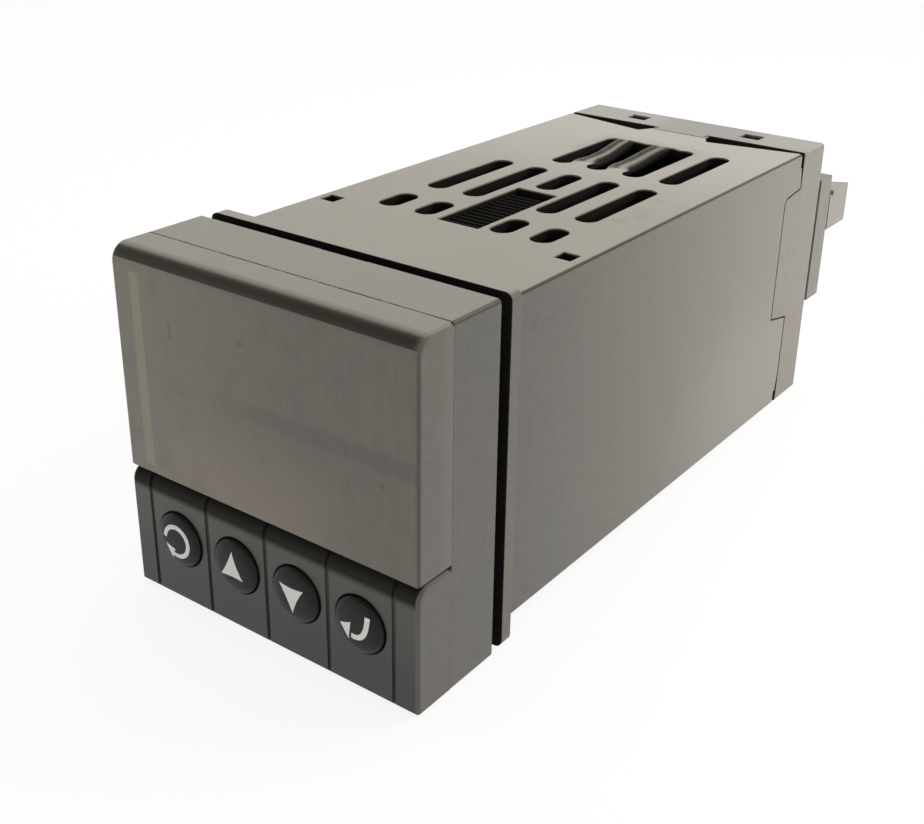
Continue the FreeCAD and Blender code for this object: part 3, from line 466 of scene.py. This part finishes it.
def key_material():
    """Glossy near-black keys with a faint blue-green cast and a little dust."""
    s = Shader("key_plastic")
    cloud = s.noise(2.5 * MM, 3.0, 0.6)
    dust = s.specks(0.9 * MM, 0.04 * MM) * s.noise(2 * MM).above(0.56, 0.06)
    base = s.mix(cloud, (0.005, 0.0065, 0.005), (0.011, 0.0135, 0.0105))
    base = s.mix(dust * 0.4, base, grey(0.2))
    return s.finish(Base_Color=base, Roughness=0.26 + 0.12 * cloud, Specular_IOR_Level=0.18,
                    Normal=s.bump(cloud, 0.01 * MM))


def sign_material():
    """The printed signs on the keys: off-white ink, slightly uneven."""
    s = Shader("sign_ink")
    worn = s.noise(0.5 * MM, 3.0, 0.65)
    base = s.mix(worn, grey(0.66, 0.01), grey(0.86, 0.01))
    return s.finish(Base_Color=base, Roughness=0.4 + 0.15 * worn,
                    Normal=s.bump(worn, 0.006 * MM))


def scorched_and_painted_shade_material():
    """Softened webs, scorched brown and olive, with painted light and shade: a painted pale
    highlight on the ridge, mottled brown on the left slope, and olive to black down the right,
    darkened by painted shade.

    The web's own attribute "slope" runs from 0 at its left edge to 1 at the ridge and 2 at its
    right edge, and "softening" from 0 where it joins the roof to 1 half way along. Where a web
    has just left the roof at the front, the pale ridge still reaches its right edge.
    """
    s = Shader("scorched_plastic_painted_light_and_shade")
    slope = s.node("Attribute", {"attribute_name": "slope"}, output=2)
    softening = s.node("Attribute", {"attribute_name": "softening"}, output=2)
    streak = s.noise(0.8 * MM, 4.0, 0.7, (1.3, 0.5, 1))
    hairs = s.noise(0.3 * MM, 3.0, 0.7, (0.4, 1, 0.5))
    place = slope / 2 + 0.1 * (streak - 0.5) + 0.14 * (hairs - 0.5)
    # painted light and shade: the ramp's pale ridge is a painted highlight and its fall to black
    # down the right is painted shade, over the scorch's brown and olive
    warm = s.node("ValToRGB", {"stops": (
        (0.0, (0.030, 0.026, 0.020)), (0.08, (0.09, 0.08, 0.06)), (0.2, (0.05, 0.042, 0.030)),
        (0.34, (0.07, 0.058, 0.04)), (0.46, (0.17, 0.155, 0.12)), (0.56, (0.2, 0.19, 0.155)),
        (0.66, (0.085, 0.083, 0.062)), (0.8, (0.02, 0.022, 0.015)), (1.0, (0.004, 0.005, 0.004)),
    )}, {0: place})
    pale = s.mix(streak, grey(plastic_level * 3, 0.14), grey(plastic_level * 3.6, 0.14))
    joined = softening.below(0.6, 0.7) * s.y.below(67 * MM, 4 * MM)
    changed = softening.above(0.2, 0.3) * (1 - joined * place.above(0.5, 0.2))
    base = s.mix(changed, pale, warm)
    # painted shade: dull black down the right flank, in the mottled valley of the left slope and
    # on the right skirt
    right_hand = s.x.above(-0.3 * MM, 0.6 * MM)
    dark_from = 0.64 + 0.12 * right_hand + 0.3 * joined
    flank = (place - dark_from).above(0.0, 0.28) * (1.05 - 0.35 * hairs)
    mottle = s.noise(0.55 * MM, 3.0, 0.75)
    valley = place.between(0.1, 0.4, 0.14) * (0.15 + 0.8 * mottle.above(0.5, 0.2))
    hollow = flank.either(valley * softening.above(0.2, 0.4) * 0.8, slope.above(1.9, 0.1))
    return s.finish(hollow, Base_Color=base, Roughness=0.5 + 0.2 * streak,
                    Normal=s.bump(0.6 * streak + 0.4 * hairs, 0.1 * MM),
                    Specular_IOR_Level=0.45)


def board_material():
    """Green solder mask with a pattern of tracks and pads."""
    s = Shader("board")
    cells = s.node("TexBrick", {"offset": 0.5},
                   {"Vector": s.place, "Scale": 1 / (5 * MM), "Mortar Size": 0.012,
                    "Color1": grey(1), "Color2": grey(1), "Mortar": grey(0)}, output=1)
    pads = s.specks(2.6 * MM, 0.45 * MM)
    cloud = s.noise(6 * MM)
    mask = s.mix(cloud, (0.012, 0.07, 0.028), (0.02, 0.1, 0.04))
    mask = s.mix(cells * 0.6, mask, (0.04, 0.17, 0.07))
    mask = s.mix(pads, mask, (0.62, 0.6, 0.55))
    return s.finish(Base_Color=mask, Roughness=0.32 + 0.1 * cloud, Metallic=pads * 0.8,
                    Normal=s.bump(cells + pads, 0.03 * MM))


def metal_material(name, colour, rough):
    """Bright metal with fine drawing lines."""
    s = Shader(name)
    lines = s.noise(0.25 * MM, 2.0, 0.6, (1, 0.15, 1))
    base = s.mix(lines, tuple(0.8 * c for c in colour), colour)
    return s.finish(Base_Color=base, Metallic=1.0, Roughness=rough + 0.15 * lines,
                    Normal=s.bump(lines, 0.01 * MM))


def coloured_material(name, colour, rough, grain_size=0.6 * MM, coat=0.0):
    """A coloured plastic, paint or tape with a fine grain and cloudy shade."""
    s = Shader(name)
    cloud = s.noise(6 * MM, 3.0)
    grain = s.noise(grain_size, 2.0, 0.6)
    base = s.mix(cloud, tuple(0.82 * c for c in colour), tuple(1.12 * c for c in colour))
    base = s.mix(grain * 0.25, base, tuple(min(1.3 * c + 0.01, 1) for c in colour))
    return s.finish(Base_Color=base, Roughness=rough + 0.12 * (grain - 0.5), Coat_Weight=coat,
                    Normal=s.bump(grain, 0.02 * MM, 0.12 * MM))


materials = {
    "case": case_material(),
    "lens": lens_material(),
    "sleeve": sleeve_material(),
    "cover": cover_material(),
    "header": plain_moulded("header_plastic", 0.145, warmth=0.08, rough=0.5),
    "plug": plain_moulded("plug_plastic", 0.195, warmth=0.08, rough=0.5),
    "key": key_material(),
    "sign": sign_material(),
    "scorched_and_shaded": scorched_and_painted_shade_material(),
    "board": board_material(),
    "brass": metal_material("pin_metal", (0.72, 0.58, 0.32), 0.25),
    "steel": metal_material("screw_metal", (0.55, 0.55, 0.53), 0.3),
    "core": metal_material("core_steel", (0.2, 0.2, 0.21), 0.5),
    "rubber": coloured_material("grey_rubber", grey(0.09, 0.02), 0.75),
    "pale": coloured_material("pale_plastic", grey(0.4, 0.05), 0.55),
    "foam": coloured_material("foam_strip", (0.5, 0.43, 0.29), 0.85, 0.3 * MM),
    "black": coloured_material("black_plastic", grey(0.02), 0.45),
    "display": coloured_material("display_block", grey(0.025), 0.2, coat=0.4),
    "led": coloured_material("led_plastic", (0.35, 0.03, 0.02), 0.25, coat=0.3),
    "tape": coloured_material("winding_tape", (0.45, 0.32, 0.06), 0.35),
    "relay": coloured_material("relay_case", grey(0.035), 0.4),
    "capacitor": coloured_material("capacitor_sleeve", (0.02, 0.025, 0.045), 0.25, coat=0.3),
}

node_finish = {
    "case_housing": "case", "display_lens": "lens", "retainer_sleeve": "sleeve",
    "rear_cover": "cover", "right_header": "header", "left_header": "header",
    "right_plug": "plug", "left_plug": "plug", "right_pins": "brass",
    "left_pins": "brass", "keypad_mat": "rubber", "display_board": "board",
    "main_board": "board", "power_board": "board", "rear_board": "board",
    "upper_display": "display", "lower_display": "display", "alarm_leds": "led",
    "display_spacer": "pale", "light_strip": "foam", "main_link": "black",
    "power_link": "black", "transformer_core": "core", "transformer_winding": "tape",
    "left_relay": "relay", "right_relay": "relay", "filter_capacitor": "capacitor",
    "output_capacitor": "capacitor", "processor_chip": "black",
}
for node_name, finish_name in node_finish.items():
    slots = nodes[node_name].data.materials
    slots.clear()
    slots.append(materials[finish_name])


# ---- surfaces ----------------------------------------------------------------------------


def surface(name, points, finish, wrap=False, cap=False, thickness=0.0, values=None):
    """A smooth mesh from a grid of points, shape (rows, columns, 3).

    Each square of the grid is one face; wrap joins the last column to the first, and cap closes
    the first and last rows. Values are named grids of numbers stored on the points. Doubles are
    merged, so poles and seams close, and the faces are turned outwards.
    """
    rows, columns = points.shape[:2]
    index = np.arange(rows * columns).reshape(rows, columns)
    if wrap:
        index = np.hstack([index, index[:, :1]])
    faces = np.stack([index[:-1, :-1], index[:-1, 1:], index[1:, 1:], index[1:, :-1]],
                     axis=-1).reshape(-1, 4).tolist()
    if cap:
        faces += [list(range(columns)), list(range((rows - 1) * columns, rows * columns))]
    mesh = bpy.data.meshes.new(name)
    mesh.from_pydata(points.reshape(-1, 3), [], faces)
    for label, grid in (values or {}).items():
        layer = mesh.attributes.new(label, "FLOAT", "POINT")
        layer.data.foreach_set("value", grid.astype(np.float32).ravel())
    shell = bmesh.new()
    shell.from_mesh(mesh)
    bmesh.ops.remove_doubles(shell, verts=shell.verts, dist=0.002 * MM)
    bmesh.ops.recalc_face_normals(shell, faces=shell.faces)
    shell.to_mesh(mesh)
    shell.free()
    mesh.polygons.foreach_set("use_smooth", np.ones(len(mesh.polygons), bool))
    obj = bpy.data.objects.new(name, mesh)
    bpy.context.collection.objects.link(obj)
    mesh.materials.append(materials[finish])
    if thickness:
        wall = obj.modifiers.new("thickness", "SOLIDIFY")
        wall.thickness = thickness
        wall.offset = 0
    return obj


# ---- keys and their signs ---------------------------------------------------------------

key_radius = 3.78 * MM
dome_rise = 0.72 * MM
crown_rise = 0.1 * MM       # of which the slight crown inside the rolled edge is this
barrel_length = 2.6 * MM    # from the crown to the square flange
flange_thickness = 1.0 * MM
half_stem = 1.8 * MM
print_thickness = 0.03 * MM


def dome_depth(radius):
    """How far the dome has fallen back at a radius r.

    The rolled edge gives 1 - (1 - (r/R)^4.4)^0.5 of its rise, and the crown (r/R)^2 of its own.
    """
    share = np.clip(radius / key_radius, 0, 1)
    edge = 1 - np.sqrt(np.clip(1 - share ** 4.4, 0, 1))
    return (dome_rise - crown_rise) * edge + crown_rise * share ** 2


def key(node, body):
    """A key: the dome's profile, its barrel, square flange and stem, turned about the key's axis.

    Radius and depth follow one profile. The flange's and the stem's rows are squares, whose
    radius at an angle a is half their size over the larger of |cos a| and |sin a|.
    """
    low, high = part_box(node)
    centre = (low + high) / 2
    around = np.linspace(0, 2 * math.pi, 96, endpoint=False)
    r = key_radius * np.sin(np.linspace(0, math.pi / 2, 26))
    round_r = np.concatenate([r, [key_radius, key_radius]])
    round_y = np.concatenate([dome_depth(r), [0.5 * barrel_length, barrel_length]])
    squareness = 1 / np.maximum(abs(np.cos(around)), abs(np.sin(around)))
    half_flange = (high.x - low.x) / 2
    length = high.y - low.y
    flange_back = barrel_length + flange_thickness
    square_r = np.array([half_flange, half_flange, half_stem, half_stem, 0])
    square_y = np.array([barrel_length, flange_back, flange_back, length, length])
    radius = np.vstack([round_r[:, None] * np.ones_like(around), square_r[:, None] * squareness])
    back = np.concatenate([round_y, square_y])[:, None] * np.ones_like(around)
    points = np.stack([centre.x + radius * np.cos(around), low.y + back,
                       centre.z + radius * np.sin(around)], axis=-1)
    obj = surface(node + "_cap", points, "key", wrap=True)
    obj.data.set_sharp_from_angle(angle=math.radians(40))
    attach(obj, body)
    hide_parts(node)
    return centre, low.y


def sign(name, body, centre, crown_y, across, upward):
    """A thin printed patch on a key's dome: across and upward are grids of places on it, and
    each point lies as deep as the dome does there, less 0.4 of the print's thickness."""
    depth = crown_y + dome_depth(np.hypot(across, upward)) - 0.4 * print_thickness
    points = np.stack([centre.x + across, depth, centre.z + upward], axis=-1)
    obj = surface(name, points, "sign", thickness=print_thickness)
    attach(obj, body)


def ribbon(path, width):
    """Across and upward grids of a ribbon: the path plus its normal times half the width."""
    path = np.asarray(path)
    step = np.gradient(path, axis=0)
    step /= np.linalg.norm(step, axis=1)[:, None]
    normal = np.stack([-step[:, 1], step[:, 0]], axis=1)
    side = np.linspace(-0.5, 0.5, 5)[None, :, None]
    grid = path[:, None, :] + normal[:, None, :] * side * np.asarray(width)[..., None, None]
    return grid[..., 0], grid[..., 1]


def curved_triangle(corners, hollow):
    """A triangle with hollow sides: barycentric weights, and each side's middle drawn in.

    A point is the weighted corner sum plus hollow x 4 x (product of two weights) x (way to the
    centre), summed over the three sides.
    """
    corners = np.asarray(corners, float)
    a = np.linspace(0, 1, 15)[:, None]
    b = np.linspace(0, 1, 15)[None, :]
    weights = [1 - a + 0 * b, a * (1 - b), a * b]
    middle = corners.mean(axis=0)
    grid = sum(w[..., None] * c for w, c in zip(weights, corners))
    for i in range(3):
        j = (i + 1) % 3
        pull = 4 * hollow * (weights[i] * weights[j])[..., None]
        grid = grid + pull * (middle - (corners[i] + corners[j]) / 2)
    return grid[..., 0], grid[..., 1]


def arc(radius, start, stop, centre=(0, 0), count=40):
    """Points of a circle's arc between two angles in degrees."""
    angle = np.radians(np.linspace(start, stop, count))
    return np.stack([centre[0] + radius * np.cos(angle), centre[1] + radius * np.sin(angle)],
                    axis=1)


def smooth_path(points, count=30):
    """A Bezier curve: the sum over i of its points times C(n, i) (1 - t)^(n - i) t^i."""
    points = np.asarray(points, float)
    t = np.linspace(0, 1, count)[:, None]
    n = len(points) - 1
    return sum(math.comb(n, i) * (1 - t) ** (n - i) * t ** i * p for i, p in enumerate(points))


menu_centre, crown_y = key("menu_button", "menu_key")
up_centre, _ = key("up_button", "up_key")
down_centre, _ = key("down_button", "down_key")
enter_centre, _ = key("enter_button", "enter_key")

sign("menu_sign_ring", "menu_key", menu_centre, crown_y,
     *ribbon(arc(2.1 * MM, 175, -118), 0.62 * MM))
sign("menu_sign_head", "menu_key", menu_centre, crown_y,
     *curved_triangle(np.array([(-2.05, -0.75), (-0.3, -1.25), (-1.0, -2.75)]) * MM, 0.0))
sign("up_sign", "up_key", up_centre, crown_y,
     *curved_triangle(np.array([(-0.02, 2.4), (-2.1, -1.45), (1.75, -1.35)]) * MM, 0.14))
sign("down_sign", "down_key", down_centre, crown_y,
     *curved_triangle(np.array([(-2.1, 1.4), (1.85, 1.4), (0.02, -2.35)]) * MM, 0.14))
hook = smooth_path(np.array([(1.75, 2.0), (1.7, 0.4), (1.3, -1.7), (-0.7, -1.35)]) * MM)
sign("enter_sign_hook", "enter_key", enter_centre, crown_y, *ribbon(hook, 0.72 * MM))
sign("enter_sign_head", "enter_key", enter_centre, crown_y,
     *curved_triangle(np.array([(-2.5, -0.2), (-0.75, 0.45), (-1.15, -2.05)]) * MM, 0.05))


# ---- heat-softened webs between the rear slots ---------------------------------------------

noise_seed = np.random.default_rng(7)


def ripple(u, v, waves=6):
    """A smooth ragged field: a sum of sine waves in two parameters with seeded phases."""
    total = np.zeros(np.broadcast(u, v).shape)
    for k in range(1, waves + 1):
        phase = noise_seed.uniform(0, 2 * math.pi, 4)
        total = total + np.sin(7 * k * u + phase[0] + 1.3 * np.sin(3 * v + phase[1])) / k
        total = total + 0.6 * np.sin(2 * k * v + 4 * u + phase[2]) / k
    return total / 3


def softened_web(name, side, sink, drift_middle, drift_rear, twist):
    """A web that has softened: a loaf-shaped section carried along a drifting, sinking path.

    Along u from 0 to 1, swell is sin(pi u). The centre's drift is the parabola through 0, the
    middle drift at u = 1/2 and the rear drift at u = 1. The top sinks by sink x swell^2, less a
    slight rise of 0.11 x swell, and the section turns by twist x swell. Across, t runs from -1 at
    the left edge to 1 at the right one, and the top falls from the ridge by 0.3 x distance^2 to
    the left and 0.8 x distance^2.4 to the right, times swell. Near the front, exp(-(u/0.12)^2)
    holds the top flat and the right edge in line with the roof. Skirts close both sides, and a
    ragged field roughens it all. Sink and drifts are in millimetres, the twist in degrees.
    """
    u = np.linspace(0, 1, 120)[:, None]
    v = np.linspace(0, 1, 49)[None, :]
    swell = np.sin(math.pi * u)
    y = web_front_y + web_length * u
    drift = 4 * u * (1 - u) * drift_middle * MM + u * (2 * u - 1) * drift_rear * MM
    centre_x = vent_x + side * slot_pitch / 2 + drift
    top = sleeve_top_z - 0.02 * MM - (sink * swell ** 2 - 0.11 * swell) * MM
    rough = ripple(u, 2 * v) * swell
    half = web_width / 2 * (1.07 - 0.1 * swell)
    ridge = 0.1
    t = 2 * v - 1
    fall = np.where(t < ridge, 0.3 * ((t - ridge) / (1 + ridge)) ** 2,
                    0.8 * (np.maximum(t - ridge, 0) / (1 - ridge)) ** 2.4)
    held = np.exp(-(u / 0.12) ** 2)
    crown = -fall * swell * (1 - held) * MM + 0.05 * MM * rough
    across = t * half * (1 + 0.06 * rough) - drift * held * (t + 1) / 2
    skirt = np.linspace(0, 1, 9)[None, 1:]
    underside = -1.15 * MM
    right_x = across[:, -1:] - 0.04 * MM * skirt * swell
    right_z = crown[:, -1:] + (underside - crown[:, -1:]) * skirt
    left_x = across[:, :1] + 0.03 * MM * skirt * swell
    left_z = crown[:, :1] + (underside - crown[:, :1]) * skirt
    a = np.concatenate([left_x[:, ::-1], across, right_x], axis=1)
    h = np.concatenate([left_z[:, ::-1], crown, right_z], axis=1)
    slope = np.concatenate([0 * skirt[:, ::-1], np.where(t < ridge, (t + 1) / (1 + ridge),
                            1 + (t - ridge) / (1 - ridge)), 2 + 0 * skirt], axis=1)
    angle = np.radians(twist) * swell
    px = centre_x + a * np.cos(angle) - h * np.sin(angle)
    pz = top + a * np.sin(angle) + h * np.cos(angle)
    py = y + 0.2 * MM * swell * ripple(v[:, :1] + 0 * u, u, 3)
    points = np.stack(np.broadcast_arrays(px, py, pz), axis=-1)
    obj = surface(name, points, "scorched_and_shaded", wrap=True, cap=True, values={
        "slope": slope + 0 * u, "softening": swell + 0 * slope})
    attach(obj, "sleeve")


softened_web("left_softened_web", side=-1, sink=0.7, drift_middle=-1.3, drift_rear=-1.9,
             twist=-14)
softened_web("right_softened_web", side=1, sink=0.8, drift_middle=-1.9, drift_rear=-1.2,
             twist=-18)


# ---- screw heads in the plugs -----------------------------------------------------------------


head_radius = 1.15 * MM
head_level = 0.45 * MM                  # the head's faces lie this far either side of its centre
way_pitch = 3.5 * MM
plug_slant = math.atan2(3.85, 6.05)     # the plug's rear face turns out sideways by this


def screw_heads(node, body):
    """Slotted screw heads: a turned disc with a soft rim, dipped along a slot across its face.

    At a distance d from the slot's centre line the dip is 0.35 mm over 1 + exp((d - 0.2) / 0.03),
    and the rim falls away by 0.12 mm times the fourth power of the radius.
    """
    low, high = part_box(node)
    count = int(round((high.z - low.z - 2 * head_radius) / way_pitch)) + 1
    side = 1 if low.x > 0 else -1
    middle = (low + high) / 2
    normal = np.array([-side * math.sin(plug_slant), math.cos(plug_slant), 0])
    along = np.array([math.cos(plug_slant), side * math.sin(plug_slant), 0])
    up = np.array([0, 0, 1.0])
    radius = np.concatenate([np.linspace(0, head_radius, 14), [head_radius, 0]])[:, None]
    around = np.linspace(0, 2 * math.pi, 48, endpoint=False)[None, :]
    a = radius * np.cos(around)
    b = radius * np.sin(around)
    dip = 0.35 * MM / (1 + np.exp((abs(a) - 0.2 * MM) / (0.03 * MM)))
    level = head_level - 0.12 * MM * (radius / head_radius) ** 4 - dip
    level[-2:] = -head_level
    for i in range(count):
        centre = np.array([middle.x, middle.y, low.z + head_radius + i * way_pitch])
        points = centre + a[..., None] * along + b[..., None] * up + level[..., None] * normal
        obj = surface(f"{node}_head_{i}", points, "steel", wrap=True)
        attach(obj, body)
        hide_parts(node)


screw_heads("right_plug_screws", "right_plug")
screw_heads("left_plug_screws", "left_plug")


# ---- floor, light and camera ---------------------------------------------------------------

rest_front = Vector((0, flange_rear_y, bezel_low.z))
rest_rear = Vector((0, cover_high.y, cover_low.z))
floor_tilt = math.atan2(rest_rear.z - rest_front.z, rest_rear.y - rest_front.y)


def paper_floor():
    """A wide sheet under the part: a flat grid, tilted so that the flange and the cover's rear
    edge both rest on it."""
    span = np.linspace(-3.0, 3.0, 3)
    x, y = np.meshgrid(span, span)
    z = rest_front.z - 0.02 * MM + (y - rest_front.y) * math.tan(floor_tilt)
    s = Shader("paper")
    is_seen = s.ray("Camera").either(s.ray("Glossy"), s.ray("Transmission"))
    reach = ((s.x * s.x + s.y * s.y) ** 0.5).above(0.75, 0.9)
    fibre = s.noise(2.5 * MM, 3.0)
    tint = s.mix(fibre, (0.86, 0.85, 0.835), (0.9, 0.89, 0.875))
    paper = s.node("BsdfDiffuse", {}, {"Color": tint})
    white = s.node("Emission", {}, {"Color": grey(1), "Strength": 1.0})
    shown = s.node("MixShader", {}, {0: is_seen * (0.88 + 0.12 * reach), 1: paper, 2: white})
    s.node("OutputMaterial", {}, {"Surface": shown})
    materials["paper"] = s.block
    floor = surface("paper_floor", np.stack([x, y, z], axis=-1), "paper")


def studio_world():
    """White backdrop for the camera and, low down, in reflections; the soft light comes from
    behind and from the sides, and dims towards the ceiling and the front."""
    world = bpy.data.worlds.new("studio")
    bpy.context.scene.world = world
    s = Shader("studio", world)
    height = s.z - 0.35 * s.y
    dimmed = s.node("MapRange", {"interpolation_type": "SMOOTHSTEP"},
                    {"Value": height, "From Min": 0.35, "From Max": 0.8,
                     "To Min": 0.95, "To Max": 0.25})
    mirrored = s.ray("Glossy") * height.below(0.41, 0.18)
    seen = s.ray("Camera").either(s.ray("Transmission"), mirrored)
    soft = s.node("Background", {}, {"Color": (1, 0.985, 0.96), "Strength": dimmed})
    white = s.node("Background", {}, {"Color": grey(1)})
    shown = s.node("MixShader", {}, {0: seen, 1: soft, 2: white})
    s.node("OutputWorld", {}, {"Surface": shown})


def softbox(name, place, target, size, power):
    """A square area lamp that points at a target and doesn't show in reflections."""
    lamp = bpy.data.lights.new(name, "AREA")
    lamp.size = size
    lamp.energy = power
    lamp.color = (1, 0.99, 0.97)
    obj = bpy.data.objects.new(name, lamp)
    bpy.context.collection.objects.link(obj)
    way = Vector(target) - Vector(place)
    obj.rotation_euler = way.to_track_quat("-Z", "Y").to_euler()
    obj.location = place
    obj.visible_glossy = False
    obj.visible_camera = False


camera_place = Vector((98.84, -108.88, 75.07)) * MM
camera_turn = (35.43, 24.3, 1.273)      # azimuth, elevation and roll in degrees


def camera():
    """A 50 mm camera to the front right and above, with a small roll and shift."""
    data = bpy.data.cameras.new("camera")
    data.sensor_width = 36
    data.lens = 50.11
    data.shift_x = -0.0203
    data.shift_y = -0.0457
    data.clip_start = 0.01
    azimuth, elevation, roll = (math.radians(a) for a in camera_turn)
    forward = Vector((-math.sin(azimuth) * math.cos(elevation),
                      math.cos(azimuth) * math.cos(elevation), -math.sin(elevation)))
    right = Vector((math.cos(azimuth), math.sin(azimuth), 0))
    up = right.cross(forward)
    turned_right = right * math.cos(roll) + up * math.sin(roll)
    turned_up = up * math.cos(roll) - right * math.sin(roll)
    turn = Matrix((turned_right, turned_up, -forward)).transposed()
    obj = bpy.data.objects.new("camera", data)
    bpy.context.collection.objects.link(obj)
    obj.matrix_world = Matrix.Translation(camera_place) @ turn.to_4x4()
    bpy.context.scene.camera = obj


paper_floor()
studio_world()
softbox("overhead", (-0.05, 0.15, 0.75), (0, 0.045, 0), 0.7, 4.2)
softbox("rear_right", (0.2, 0.26, 0.14), (0.02, 0.08, 0), 0.2, 0.8)
camera()
bpy.context.scene.view_settings.view_transform = "Standard"
